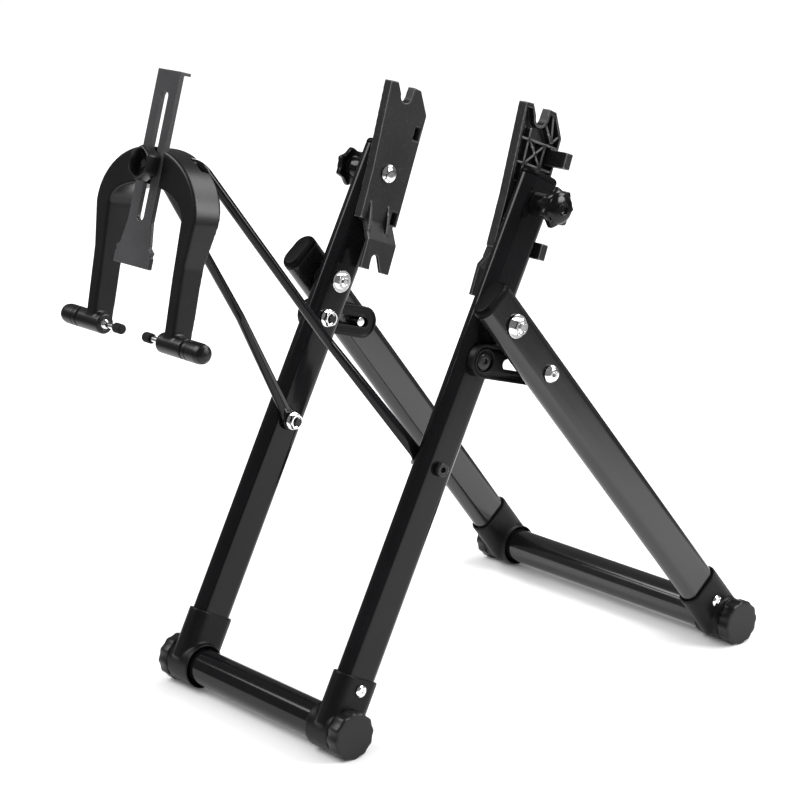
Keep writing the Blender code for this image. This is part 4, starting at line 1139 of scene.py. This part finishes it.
@dataclass
class RearLegs:
    """The splayed legs on the rear bar, and the slot bolts that they carry."""

    layout: Layout = STAND
    tubing: Tubing = field(default_factory=Tubing)
    corners: Corners = field(default_factory=Corners)
    sleeve: Point = (0.0115, 0.0118)
    socket: float = 0.0385
    rivet_along: float = 0.0215
    top: float = 0.022
    plug: float = 0.005
    button: float = 0.0034
    button_mouth: float = 0.0033
    button_top: Point = (0.72, 0.0004)
    button_side: Point = (0.95, 0.0012)
    button_rim: Point = (0.0003, 0.0002)
    button_cut: float = 0.0007
    socket_hex: tuple[float, ...] = (0.0022, 0.0023, 0.0002, 0.00242)

    def build(self) -> None:
        """Make both legs and the bar."""
        stand = self.layout
        plane = abs(stand.leg_foot(1).translation.x)
        outer = plane + self.sleeve[1]
        self.tubing.bar("rear_bar", outer - stand.gap, stand.rear_bar_y, LIT_LEG_PAINT, "rear_legs")
        far = 2 * stand.tube_thickness
        for word, side in SIDES.items():
            place = stand.leg(side)
            tube = self.tubing.tube(stand.socket_floor - stand.leg_length, self.top)
            bore = stand.hole + stand.tube_thickness / 2 * math.tan(stand.leg_splay)
            pivot = stand.on_upright(side * stand.leg_plane, stand.pivot_along)
            tube.joined(Joining.CUT, *[Solid.rod(bore, -far, far).turn(place.inverted() @ spot)
                                       for spot in (pivot, stand.slot_bolt(side))])
            tube.put(f"rear_leg_{word}", place, LIT_LEG_PAINT, "rear_legs")
            self.tubing.plug(f"leg_plug_{word}", place, self.top + stand.gap, self.plug,
                             "rear_legs")
            foot = stand.place(side * plane, stand.rear_bar_y, 0, stand.leg_lean)
            self.corners.connector(f"rear_connector_{word}", side,
                                   (-self.sleeve[0], self.sleeve[1], self.socket), foot,
                                   foot.inverted() @ stand.leg_foot(side), "rear_legs")
            HARDWARE.rivet(f"rear_rivet_{word}", stand.leg_foot(side) @ Matrix.Translation(
                (0, 0, self.rivet_along)), side, "rear_legs")
            self.corners.cap(f"rear_cap_{word}", side, outer + stand.gap, stand.rear_bar_y,
                             "rear_legs")
            self.slot_bolt(word, side)

    def slot_bolt(self, word: str, side: int) -> None:
        """A button head with a hexagon socket and its shank through the leg."""
        stand = self.layout
        face = stand.tube_thickness / 2 + stand.gap + stand.washer_tilt
        top = face + self.button
        rim = stand.flange
        narrow, drop = self.button_top
        broad, rise = self.button_side
        high, less = self.button_rim
        stations = hex_socket(top, *self.socket_hex)
        stations += even(soften([(self.button_mouth, top), (rim * narrow, top - drop),
                                 (rim * broad, face + rise), (rim, face + high),
                                 (rim - less, face), (stand.bolt, face)], self.button_cut))
        stations += even([(stand.bolt, -stand.tube_thickness / 2)])
        bolt = Solid.shaped(stations, side)
        bolt.put(f"slot_bolt_{word}", stand.slot_bolt(side), ZINC, "rear_legs", sharp=30)


@dataclass
class FoldLinks:
    """The slotted links that limit the fold, with their bolts and sliding pins."""

    layout: Layout = STAND
    thickness: float = 0.0056
    half_width: float = 0.0115
    slot: Point = (0.0199, 0.0475)
    slot_half: float = 0.0035
    pin: float = 0.0032
    rim: float = 0.0016
    pocket: float = 0.0012
    edge: float = 0.0004
    recess: Point = (0.0072, 0.0022)
    wrap: float = 35.0
    past: float = 0.002
    mould: Mould = (0.00038, 4, 2)
    pin_ease: float = 0.0003
    head: float = 0.006
    head_mouth: float = 0.003
    head_top: Point = (0.8, 0.0001)
    head_side: float = 0.0008
    head_cut: float = 0.0005
    socket_hex: tuple[float, ...] = (0.0022, 0.0012, 0.0001, 0.0024)
    thread_length: float = 0.0066

    def stadium(self, half: float, near: float, far: float) -> list[Point]:
        """A bar with round ends."""
        return arc((0, far), half, 0, 180, 32) + arc((0, near), half, 180, 360, 32)

    def build(self) -> None:
        """Make both links."""
        stand = self.layout
        inner, outer = stand.link_in, stand.link_in + self.thickness
        near, far = self.slot
        for word, side in SIDES.items():
            link = Solid.slab(self.stadium(self.half_width, 0, far), side * inner, side * outer,
                              Plane.YZ, self.edge)
            island = arc((0, far), self.slot_half + self.rim, 0, 180, 24)
            island += arc((0, 0), self.recess[0] + self.rim, 180 - self.wrap, 360 + self.wrap, 40)
            groove = self.stadium(self.half_width - self.rim, 0, far)
            below, above = side * (inner - self.past), side * (outer + self.past)
            cutters = [Solid.slab(self.stadium(self.slot_half, near, far), below, above,
                                  Plane.YZ)]
            for face, depth in ((outer, -self.pocket), (inner, self.pocket)):
                faces = side * (face + depth), side * (face - depth)
                cutters.append(Solid.slab(groove, *faces, Plane.YZ).joined(
                    Joining.CUT, Solid.slab(island, 2 * faces[0] - faces[1],
                                            2 * faces[1] - faces[0], Plane.YZ)))
            cutters.append(Solid.rod(self.recess[0], side * (outer - self.recess[1]), above))
            cutters.append(Solid.rod(stand.hole, below, above))
            link.joined(Joining.CUT, *cutters).moulded(*self.mould)
            link.put(f"link_{word}", stand.link(), MOULDING, f"link_{word}", sharp=80)
            self.bolt(word, side, outer)
            pin_out = abs(stand.slot_bolt(side).translation.x) - stand.tube_thickness / 2
            pin = Solid.rod(self.pin, side * (stand.upright_out + 2 * stand.gap),
                            side * (pin_out - 2 * stand.gap), self.pin_ease)
            pin.put(f"slot_pin_{word}",
                    stand.link() @ Matrix.Translation((0, 0, stand.link_run.length)), ZINC,
                    f"slot_pin_{word}")

    def bolt(self, word: str, side: int, outer: float) -> None:
        """The round-headed bolt sunk in a link, with its nut inside the upright."""
        stand = self.layout
        head = outer - self.recess[1] + stand.gap
        top = outer - stand.gap
        seat = stand.upright_in - stand.gap
        end = seat - stand.washer_thickness - stand.hex_height - stand.thread_end
        stations = hex_socket(top, *self.socket_hex)
        narrow, drop = self.head_top
        stations += even(soften([(self.head_mouth, top), (self.head * narrow, top - drop),
                                 (self.head, top - self.head_side), (self.head, head),
                                 (stand.bolt, head)], self.head_cut))
        stations += HARDWARE.tail(end, self.thread_length, -1)
        place = stand.on_upright(0, stand.link_along)
        Solid.shaped(stations, side).put(f"link_bolt_{word}", place, BLACK_OXIDE, "frame", sharp=30)
        HARDWARE.nut(f"link_nut_{word}", place, -side, -seat, stand.flange, "frame")


# Hub supports

@dataclass
class HubSupports:
    """Ribbed dropout plates, their domed bolts and the star knobs outside the uprights."""

    layout: Layout = STAND
    lean: float = math.radians(21.8)
    face: float = 0.065
    mould: Mould = (0.00046, 3, 2)
    gussets: Point = (-0.0082, 0.0088)
    fin: Row = ((0.0665, -0.0215), (0.0650, -0.0215), (0.0612, -0.0330), (0.0596, -0.0415),
                (0.0602, -0.0445), (0.0665, -0.0445))
    fin_half: float = 0.0011
    pegs: Point = (0.033, -0.0295)
    peg_hole: tuple[Point, Point] = ((0.0120, 0.0049), (0.0013, 0.0187))
    spare: Row = ((0.0595, -0.08), (0.0595, -0.0495), (0.0685, -0.0362), (0.09, -0.0362),
                  (0.09, -0.08))
    spare_half: float = 0.04
    dome: Point = (0.0067, 0.0032)
    dome_rim: Point = (0.0002, 0.0003)
    dome_curve: Row = ((1, 0.25), (0.93, 0.5), (0.7, 0.85), (0.4, 1), (0, 1))
    dome_cut: float = 0.0008
    star: float = 0.0140
    lobes: int = 7
    waist: float = 0.0023
    crest: float = 0.62
    stem: Point = (0.008, 0.0162)
    stem_ease: float = 0.0004
    stem_neck: Point = (0.96, 0.0006)
    thickness: float = 0.0050
    bore_share: float = 0.6
    star_back: Row = ((0.0008, 0), (0.0003, 0.0003), (0, 0.001))
    star_front: Row = ((0, 0.0014), (0.0003, 0.0006), (0.0008, 0.0001), (0.0014, 0))
    crown: Point = (0.0106, 0.0044)
    crown_curve: Row = ((0.97, 0.42), (0.80, 0.78))
    crown_ease: Point = (0.0004, 0.0003)
    crown_cut: float = 0.0016
    sink: tuple[float, ...] = (0.52, 0.36, 0.32)
    sunk: Point = (0.0003, 0.0018)

    def build(self) -> None:
        """Make both sides."""
        stand = self.layout
        place = stand.on_upright(0, stand.plate_along, self.lean)
        for word, side in SIDES.items():
            node = f"dropout_plate_{word}"
            plate = Solid.copied(node, place)
            plate.joined(Joining.ADD, *[self.gusset(side, across) for across in self.gussets])
            low, high = self.peg_hole
            holes = [Solid.brick((side * (self.face - high[0]), low[0], up - low[1]),
                                 (side * (self.face + high[0]), high[1], up + low[1]))
                     for up in self.pegs]
            spare = [(side * across, up) for across, up in self.spare]
            plate.joined(Joining.CUT, Solid.slab(spare, -self.spare_half, self.spare_half,
                                                 Plane.XZ), *holes)
            plate.moulded(*self.mould)
            plate.put(node, place, LIT_PLATE_MOULDING, f"plate_{word}", sharp=80)
            self.bolt(word, side)
            self.knob(word, side)

    def gusset(self, side: int, across: float) -> Solid:
        """A fin between the plate's inner face and its lower block."""
        outline = [(side * x, z) for x, z in self.fin]
        return Solid.slab(outline, -across - self.fin_half, -across + self.fin_half, Plane.XZ)

    def bolt(self, word: str, side: int) -> None:
        """A domed bolt through the plate and the upright into the star knob."""
        stand = self.layout
        face = self.face - stand.gap
        radius, height = self.dome
        less, low = self.dome_rim
        tip = HARDWARE.tip
        end = stand.upright_out + self.stem[1] + self.thickness * self.bore_share
        profile = [(0, end), (stand.bolt - tip, end), (stand.bolt, end - tip),
                   (stand.bolt, face)]
        profile += soften([(stand.bolt, face), (radius - less, face), (radius, face - low),
                           *scaled(self.dome_curve, radius, -height, face)], self.dome_cut)[1:]
        bolt = Solid.turned(profile, side)
        bolt.put(f"plate_bolt_{word}", stand.on_upright(0, stand.plate_along), ZINC, "frame",
                 sharp=50)

    def knob(self, word: str, side: int) -> None:
        """A hand knob: a stem, a lobed flange at its outer end and a dome with a sunk middle."""
        stand = self.layout
        stem, reach = self.stem
        dome, rise = self.crown
        low = stand.upright_out + stand.gap
        back = stand.upright_out + reach
        face = back + self.thickness
        ease, (slim, below) = self.stem_ease, self.stem_neck
        stations = even([(stand.hole, back + self.thickness * self.bore_share),
                         (stand.hole, low), (stem - ease, low), (stem, low + ease),
                         (stem * slim, back - below), (stem + ease, back)])
        stations += rolled(self.lobe, back, face, self.star_back, self.star_front)
        top = face + rise
        ease, drop = self.crown_ease
        rim, lip, pit = (dome * share for share in self.sink)
        centre, deep = self.sunk
        stations += even(soften(
            [(dome + ease, face), (dome, face + ease), *scaled(self.crown_curve, dome, rise, face),
             (rim, top - drop), (lip, top), (pit, top - deep), (centre, top - deep)],
            self.crown_cut))
        knob = Solid.shaped(stations, side, steps=168)
        knob.put(f"star_knob_{word}", stand.on_upright(0, stand.plate_along), SHADED_KNOB_MOULDING,
                 f"star_knob_{word}", sharp=50)

    def lobe(self, less: float) -> Reach:
        """A star knob's section, smaller by less."""
        return lobed(self.star - less, self.lobes, self.waist, 90, self.crest)


# Rim gauge

@dataclass
class Bail:
    """The bent rod between two flattened eyes, with its bolts and nuts."""

    layout: Layout = STAND
    rod: float = 0.0032
    knee: Point = (0.0476, 0.107)
    corner: float = 0.0282
    knee_bend: float = 0.040
    corner_bend: float = 0.008
    eye: float = 0.0075
    eye_cut: float = 0.0006
    eye_thickness: float = 0.0033
    eye_neck: float = 0.009
    eye_past: float = 0.01
    eye_steps: tuple[float, ...] = (-0.0044, -0.003, -0.0015, 0, 0.003)
    flat_half: Point = (0.00142, 0.0058)
    flat_run: Point = (0.004, 0.016)
    steps: int = 24
    facets: int = 40
    head: Point = (0.0049, 0.0038)
    knurls: tuple[int, float] = (24, 0.00018)
    head_mouth: float = 0.00308
    head_top: Point = (0.88, 0.94)
    head_rim: Triple = (0.0002, 0.0006, 0.0003)
    socket_hex: tuple[float, ...] = (0.0022, 0.0023, 0.0002, 0.00242)
    thread_length: float = 0.0066

    def path(self) -> list[Vector]:
        """The rod's middle line from the left eye to the right."""
        foot = self.layout.upright_in - self.layout.gap - self.rod
        top = self.layout.rod_along
        half = [Vector((foot, 0, self.eye_neck)), Vector((self.knee[0], 0, self.knee[1])),
                Vector((self.corner, 0, top))]
        corners = [Vector((-spot.x, 0, spot.z)) for spot in half] + half[::-1]
        bends = [self.knee_bend, self.corner_bend, self.corner_bend, self.knee_bend]
        path = [corners[0] + Vector((0, 0, z)) for z in self.eye_steps]
        for before, middle, after, bend in zip(corners, corners[1:], corners[2:], bends):
            back, ahead = (before - middle).normalized(), (after - middle).normalized()
            half_angle = back.angle(ahead) / 2
            centre = middle + (back + ahead).normalized() * bend / math.sin(half_angle)
            start = middle + back * bend / math.tan(half_angle) - centre
            end = middle + ahead * bend / math.tan(half_angle) - centre
            path += [centre + start.slerp(end, step / self.steps).normalized() * bend
                     for step in range(self.steps + 1)]
        straight = path[:len(self.eye_steps)]
        return path + [Vector((-spot.x, 0, spot.z)) for spot in reversed(straight)]

    def ring(self, spot: Vector, ahead: Vector) -> list[Vector]:
        """The rod's section at a point of its path, which is flat at the eyes."""
        across = ahead.normalized().cross(Vector((0, 1, 0)))
        low, run = self.flat_run
        share = min(1.0, max(0.0, (spot.z - low) / run))
        share = share * share * (3 - 2 * share)
        flat, wide = (half * (1 - share) + self.rod * share for half in self.flat_half)
        aside = (self.rod - self.eye_thickness / 2) * (1 - share)
        centre = spot + Vector((math.copysign(1, spot.x) * aside, 0, 0))
        angles = [2 * math.pi * step / self.facets for step in range(self.facets)]
        return [centre + across * flat * math.cos(a) + Vector((0, wide * math.sin(a), 0))
                for a in angles]

    def build(self) -> None:
        """Make the rod and its bolts."""
        stand = self.layout
        place = stand.bail()
        out = stand.upright_in - stand.gap
        path = self.path()
        rod = Solid.skinned([self.ring(spot, after - before) for before, spot, after in
                             zip(path[:1] + path, path, path[1:] + path[-1:])])
        half_facet = math.pi / 96
        for side in SIDES.values():
            inner = out - self.eye_thickness
            profile = [(0, inner), (self.eye, inner), (self.eye, out), (0, out)]
            rod.joined(Joining.ADD, Solid.turned(soften(profile, self.eye_cut), side))
            bore = Solid.rod(stand.hole, side * (out - self.eye_past),
                             side * (out + self.eye_past))
            rod.joined(Joining.CUT, bore.turn(Matrix.Rotation(side * half_facet, 4, "X")))
        rod.put("bail", place, GLOSS_PAINT, "bail", sharp=35)
        for word, side in SIDES.items():
            self.bolt(word, side)

    def bolt(self, word: str, side: int) -> None:
        """A socket-head bolt from outside and its nut inside the eye."""
        stand = self.layout
        face = stand.upright_out + stand.gap
        head, height = self.head
        top = face + height
        seat = stand.upright_in - 2 * stand.gap - self.eye_thickness
        end = seat - stand.washer_thickness - stand.hex_height - stand.thread_end
        rim = lobed(head, *self.knurls)
        drop, start, foot = self.head_rim
        stations = hex_socket(top, *self.socket_hex)
        flat, bevel = (head * share for share in self.head_top)
        stations += even([(self.head_mouth, top), (flat, top), (bevel, top - drop)])
        stations += [(rim, top - start), (rim, face + foot)]
        stations += even([(head - foot, face), (stand.bolt, face)])
        stations += HARDWARE.tail(end, self.thread_length, -1)
        place = stand.on_upright(0, stand.bail_along)
        bolt = Solid.shaped(stations, side, steps=192)
        bolt.put(f"bail_bolt_{word}", place, BLACK_OXIDE, "frame", sharp=30)
        HARDWARE.nut(f"bail_nut_{word}", place, -side, -seat, stand.flange, "frame")


@dataclass
class RimGauge:
    """The horseshoe yoke, the slotted gauge plate and its clamp."""

    layout: Layout = STAND
    front: float = 0.0185
    back: float = 0.0025
    crown: Point = (0.0532, 0.041)
    crown_base: float = -0.034
    arch: Point = (0.039, 0.0172)
    arm: Point = (0.0475, 0.038)
    arm_knee: Point = (-0.062, -0.070)
    arm_spread: float = 0.001
    wedge: Row = ((0.0025, -0.020), (-0.0025, -0.060), (-0.0038, -0.125), (0.03, -0.125),
                  (0.03, -0.020))
    boss: Point = (0.032, 0.057)
    boss_radius: float = 0.0066
    boss_ease: float = 0.0009
    groove: Point = (0.0036, 0.019)
    snap_half: float = 0.0029
    relief: tuple[float, float, float, float] = (0.0345, -0.0040, -0.0115, 0.0036)
    screw_hole: float = 0.0032
    rim: float = 0.0016
    past: float = 0.08
    yoke_mould: Mould = (0.00055, 8, 3)
    gauge_tilt: float = math.radians(4.55)
    gauge_place: Point = (-0.0180, -0.0043)
    plate_thickness: float = 0.0032
    plate_half: float = 0.012
    plate_ends: Point = (-0.0639, 0.0596)
    plate_neck: float = -0.0344
    flare: float = 0.0190
    notch: Point = (0.0012, -0.0556)
    slot_half: float = 0.0036
    slot_ends: Point = (-0.0318, 0.0426)
    lip: Point = (0.005, 0.002)
    plate_cut: float = 0.01
    plate_mould: Mould = (0.0004, 6, 2)
    channel_side: float = 0.0004
    stud: Point = (0.0054, 0.011)
    stud_ease: float = 0.0005
    knob: Point = (0.0112, 0.0094)
    knob_trim: float = 0.982
    knob_back: Row = ((0.0007, 0), (0.0003, 0.0003), (0, 0.0008))
    knob_front: Row = ((0, 0.0008), (0.0003, 0.0003), (0.0007, 0))
    knob_recess: Point = (0.0086, 0.0062)
    knob_ease: float = 0.0003
    knob_taper: float = 0.0004
    knob_seat: float = 0.0036

    def gauge(self) -> Matrix:
        """From the yoke's frame to the gauge plate's front face."""
        spot = Matrix.Translation((0, *self.gauge_place))
        return spot @ Matrix.Rotation(-self.gauge_tilt, 4, "X")

    def yoke_outline(self) -> list[Point]:
        """The horseshoe in (x, z) from the cross rod's axis."""
        foot = self.layout.screws[1]
        outer, inner = self.arm
        spread = outer + self.arm_spread
        high, low = self.arm_knee
        points = [(outer, foot), (spread, high)]
        points += half_ellipse(*self.crown, self.crown_base, 80)
        points += [(-spread, high), (-outer, foot), (-inner, foot), (-inner, low)]
        points += reversed(half_ellipse(*self.arch, self.crown_base, 60))
        return points + [(inner, low), (inner, foot)]

    def build(self) -> None:
        """Make the yoke, the plate and the clamp."""
        self.yoke()
        self.plate()
        self.clamp()

    def yoke(self) -> None:
        """The horseshoe, thinner at the back towards its feet."""
        stand = self.layout
        yoke = Solid.slab(self.yoke_outline(), -self.back, self.front, Plane.XZ, self.rim)
        screws = Matrix.Translation((0, *stand.screws))
        inner, outer = self.boss
        yoke.joined(Joining.ADD, *[
            Solid.rod(self.boss_radius, side * inner, side * outer, self.boss_ease).turn(screws)
            for side in SIDES.values()])
        end, ahead, deep, high = self.relief
        groove, half = self.groove
        side_gap = self.plate_half + self.channel_side
        floor = self.plate_thickness + stand.gap
        channel = Solid.brick((-side_gap, -self.front, -self.crown[1]),
                              (side_gap, floor, self.crown[1]))
        stud = Solid.rod(stand.hole, 0, self.stud[1]).turn(Matrix.Rotation(math.pi / 2, 4, "Z"))
        cutters = [Solid.brick((side * half, ahead, deep), (side * end, 2 * half, high))
                   for side in SIDES.values()]
        cutters += [Solid.rod(groove, -2 * half, 2 * half),
                    Solid.brick((-2 * half, 0, -self.snap_half),
                                (2 * half, 2 * self.back, self.snap_half)),
                    Solid.slab(self.wedge, -self.past, self.past, Plane.YZ),
                    channel.turn(self.gauge()), stud.turn(self.gauge()),
                    Solid.rod(self.screw_hole, -self.past, self.past).turn(screws)]
        yoke.joined(Joining.CUT, *cutters).moulded(*self.yoke_mould)
        yoke.put("yoke", stand.yoke(), YOKE_MOULDING, "yoke", sharp=80)

    def plate_outline(self) -> list[Point]:
        """The gauge plate in (x, z), with its flared and notched lower end."""
        notch, middle = self.notch
        low, high = self.plate_ends
        right = [(self.plate_half, high), (self.plate_half, self.plate_neck),
                 (self.flare - 3 * notch, middle + 4 * notch), (self.flare, middle + 2 * notch),
                 (self.flare - notch, middle), (self.flare, middle - notch), (self.flare, low)]
        left = [(-across, up) for across, up in reversed(right)]
        return right + left

    def plate(self) -> None:
        """A slotted flat plate with its top edge bent back."""
        low, high = self.slot_ends
        slot = arc((0, high), self.slot_half, 0, 180, 24)
        slot += arc((0, low), self.slot_half, 180, 360, 24)
        plate = Solid.slab(self.plate_outline(), -self.plate_thickness, 0, Plane.XZ)
        reach, thick = self.lip
        top = self.plate_ends[1]
        plate.joined(Joining.ADD, Solid.brick(
            (-self.plate_half, self.plate_thickness / 2, top - thick),
            (self.plate_half, self.plate_thickness + reach, top)))
        plate.joined(Joining.CUT, Solid.slab(slot, -self.plate_cut, self.plate_cut, Plane.XZ))
        plate.moulded(*self.plate_mould).put(
            "gauge_plate", self.layout.yoke() @ self.gauge(), GAUGE_COAT, "gauge_plate", sharp=80)

    def grip(self, less: float) -> Reach:
        """The clamp knob's trimmed hexagon, smaller by less."""
        corner = self.knob[0] - less
        return hexagon(corner, corner * self.knob_trim, 90)

    def clamp(self) -> None:
        """The stud in the yoke and the hollow hexagon knob on it."""
        stand = self.layout
        place = stand.yoke() @ self.gauge() @ Matrix.Rotation(-math.pi / 2, 4, "Z")
        out, depth = self.stud
        inner = -(depth - stand.gap)
        bolt, tip = stand.bolt, stand.bolt - self.stud_ease
        stud = even([(tip, inner), (bolt, inner + self.stud_ease)])
        stud += thread(bolt, 0, out - self.stud_ease) + even([(tip, out)])
        Solid.shaped(stud).put("gauge_stud", place, BLACK_OXIDE, "yoke", sharp=30)
        hollow, sunk = self.knob_recess
        ease = self.knob_ease
        face = stand.gap + self.knob[1]
        floor = face - sunk
        stations = even([(stand.hole, stand.gap)])
        stations += rolled(self.grip, stand.gap, face, self.knob_back, self.knob_front)
        stations += even([(hollow + ease, face), (hollow, face - ease),
                          (hollow - self.knob_taper, floor), (self.knob_seat, floor),
                          (stand.hole, floor - ease)])
        knob = Solid.shaped(stations, steps=144, ring=True)
        knob.put("gauge_knob", place, YOKE_MOULDING, "gauge_knob", sharp=45)


@dataclass
class ThumbScrews:
    """The two screws that close on the rim, each with its knob and rubber tip."""

    layout: Layout = STAND
    radius: float = 0.0029
    ends: Point = (0.0155, 0.063)
    neck: Point = (0.0019, 0.031)
    rod_ease: tuple[float, ...] = (0.0004, 0.0005, 0.0006, 0.001)
    tip: Point = (0.0122, 0.020)
    tip_radius: float = 0.0033
    tip_nose: Point = (0.75, 0.001)
    tip_cut: float = 0.0006
    knob: Point = (0.0576, 0.0775)
    knob_radius: float = 0.0066
    knob_cut: float = 0.0004
    dome: float = 0.006
    dome_curve: Row = ((0.55, 0.13), (0.9, 0.5), (1, 1))
    rings: Row = ((1, 0.0052), (0.93, 0.005), (0.93, 0.0042), (1, 0.004), (1, 0.0012), (0.88, 0))
    centre: float = 0.0001

    def build(self) -> None:
        """Make both screws."""
        stand = self.layout
        place = stand.yoke() @ Matrix.Translation((0, *stand.screws))
        inner, outer = self.ends
        near, far = self.tip
        start, end = self.knob
        neck, bare = self.neck
        room = self.radius + stand.gap
        hold = neck + stand.gap
        grip, centre = self.knob_radius, self.centre
        less, down, short, bare_end = self.rod_ease
        floor = outer + stand.gap
        wide, (nose, rise) = self.tip_radius, self.tip_nose
        for word, side in SIDES.items():
            body = f"thumb_screw_{word}"
            rod = even([(neck - less, inner), (neck, inner + down), (neck, bare - short)])
            rod += thread(self.radius, bare, outer - bare_end)
            rod += even([(self.radius - down, outer)])
            Solid.shaped(rod, side).put(body, place, ZINC, body, sharp=30)
            knob = [(0, end)] + soften(
                [(centre, end), *scaled(self.dome_curve, grip, -self.dome, end),
                 *scaled(self.rings, grip, 1, start), (room, start), (room, floor),
                 (centre, floor)], self.knob_cut) + [(0, floor)]
            Solid.turned(knob, side).put(f"thumb_knob_{word}", place, YOKE_MOULDING, body, sharp=45)
            tip = [(0, inner - stand.gap), (hold, inner - stand.gap), (hold, far)]
            tip += soften([(hold, far), (wide, far), (wide, near + rise), (wide * nose, near),
                           (centre, near)], self.tip_cut)[1:]
            cap = Solid.turned(tip + [(0, near)], side)
            cap.put(f"thumb_tip_{word}", place, RUBBER, body, sharp=45)


# Studio

@dataclass
class Studio:
    """A pale floor, soft light and the photograph's view."""

    eye: Triple = (1.25623, -1.056853, 0.66823)
    right: Triple = (0.648308, 0.761112, -0.020132)
    up: Triple = (-0.197226, 0.193417, 0.961089)
    lens: float = 111.34
    sensor: float = 36
    reach: float = 60
    aim: Triple = (0, 0, 0.2)
    lights: tuple[tuple[Triple, Point, float], ...] = (
        ((-1.3, -1.3, 2.2), (1.6, 1.6), 50),
        ((1.75, 1.25, 1.15), (0.9, 1.3), 40),
        ((0.5, 1.45, 1.8), (1.5, 1.0), 26),
    )
    floor_half: float = 12
    floor_clouds: float = 0.9
    # Painted shade: the floor's level near the stand, lower than floor_far, and the distances over
    # which it rises.
    floor_shaded_near: Point = (0.79, 0.81)
    floor_far: float = 0.96
    floor_shade_run: Point = (0.4, 2.2)
    # Painted reflection: the floor's level as glossy rays see it near and far, and where it falls.
    mirrored: Point = (0.75, 0.07)
    mirrored_run: Point = (0.45, 1.35)
    sky_levels: Point = (1.0, 0.18)

    def build(self) -> None:
        """Make the floor, the light and the camera."""
        self.floor()
        self.sky()
        for index, (spot, size, power) in enumerate(self.lights):
            self.lamp(f"softbox_{index}", Vector(spot), size, power)
        self.camera()

    def floor(self) -> None:
        """A pale floor with painted shade, darker near the stand, and a painted reflection:
        polished surfaces see it darker far away.
        """
        work = bmesh.new()
        bmesh.ops.create_grid(work, x_segments=4, y_segments=4, size=self.floor_half)
        mesh = bpy.data.meshes.new("floor")
        work.to_mesh(mesh)
        work.free()
        floor = bpy.data.objects.new("floor", mesh)
        bpy.context.scene.collection.objects.link(floor)
        graph = Graph("pale_floor")
        tone = graph.noise(self.floor_clouds, 3).band(*WEAR.cloud_band)
        paths = graph.node("ShaderNodeLightPath", {}, {}, "Is Glossy Ray")
        spot = graph.node("ShaderNodeTexCoord", {}, {}, "Object")
        away = graph.node("ShaderNodeVectorMath", {"operation": "LENGTH"}, {0: spot}, "Value")
        near = graph.blend(tone, *map(grey, self.floor_shaded_near))
        # Painted shade: the floor is darker near the stand.
        pale = graph.blend(away.band(*self.floor_shade_run), near, grey(self.floor_far))
        # Painted reflection: glossy rays see a darker floor, darkest far away.
        dimmed = graph.blend(away.band(*self.mirrored_run), *map(grey, self.mirrored))
        mesh.materials.append(graph.shaded({"Base Color": graph.blend(paths, pale, dimmed),
                                            "Roughness": 0.9, "Specular IOR Level": 0.1}))

    def sky(self) -> None:
        """Even light all round, which polished surfaces see dimmed."""
        world = bpy.data.worlds.new("studio")
        bpy.context.scene.world = world
        world.use_nodes = True
        tree = world.node_tree
        paths = tree.nodes.new("ShaderNodeLightPath")
        level = tree.nodes.new("ShaderNodeMapRange")
        seen, mirrored = self.sky_levels
        level.inputs["To Min"].default_value = seen
        level.inputs["To Max"].default_value = mirrored
        tree.links.new(paths.outputs["Is Glossy Ray"], level.inputs["Value"])
        tree.links.new(level.outputs[0], tree.nodes["Background"].inputs["Strength"])
        tree.nodes["Background"].inputs["Color"].default_value = grey(1)

    def lamp(self, name: str, spot: Vector, size: Point, power: float) -> None:
        """A softbox aimed at the stand."""
        light = bpy.data.lights.new(name, "AREA")
        light.shape = "RECTANGLE"
        light.size, light.size_y = size
        light.energy = power
        lamp = bpy.data.objects.new(name, light)
        lamp.location = spot
        lamp.rotation_euler = (Vector(self.aim) - spot).to_track_quat("-Z", "Y").to_euler()
        bpy.context.scene.collection.objects.link(lamp)

    def camera(self) -> None:
        """The camera at the photograph's view."""
        data = bpy.data.cameras.new("photo_view")
        data.lens = self.lens
        data.sensor_width = self.sensor
        data.clip_end = self.reach
        camera = bpy.data.objects.new("photo_view", data)
        right, up = Vector(self.right).normalized(), Vector(self.up).normalized()
        turn = Matrix((right, up, right.cross(up))).transposed()
        camera.matrix_world = Matrix.Translation(self.eye) @ turn.to_4x4()
        bpy.context.scene.collection.objects.link(camera)
        bpy.context.scene.camera = camera


def main() -> None:
    """Build the stand's sub-assemblies in order, then the studio."""
    logging.basicConfig(level=logging.INFO, format="%(message)s")
    bpy.context.scene.view_settings.view_transform = "Standard"
    for part in (FrontFrame(), RearLegs(), FoldLinks(), HubSupports(), Bail(), RimGauge(),
                 ThumbScrews(), Studio()):
        LOG.info("building %s", type(part).__name__)
        part.build()


if __name__ == "__main__":
    main()
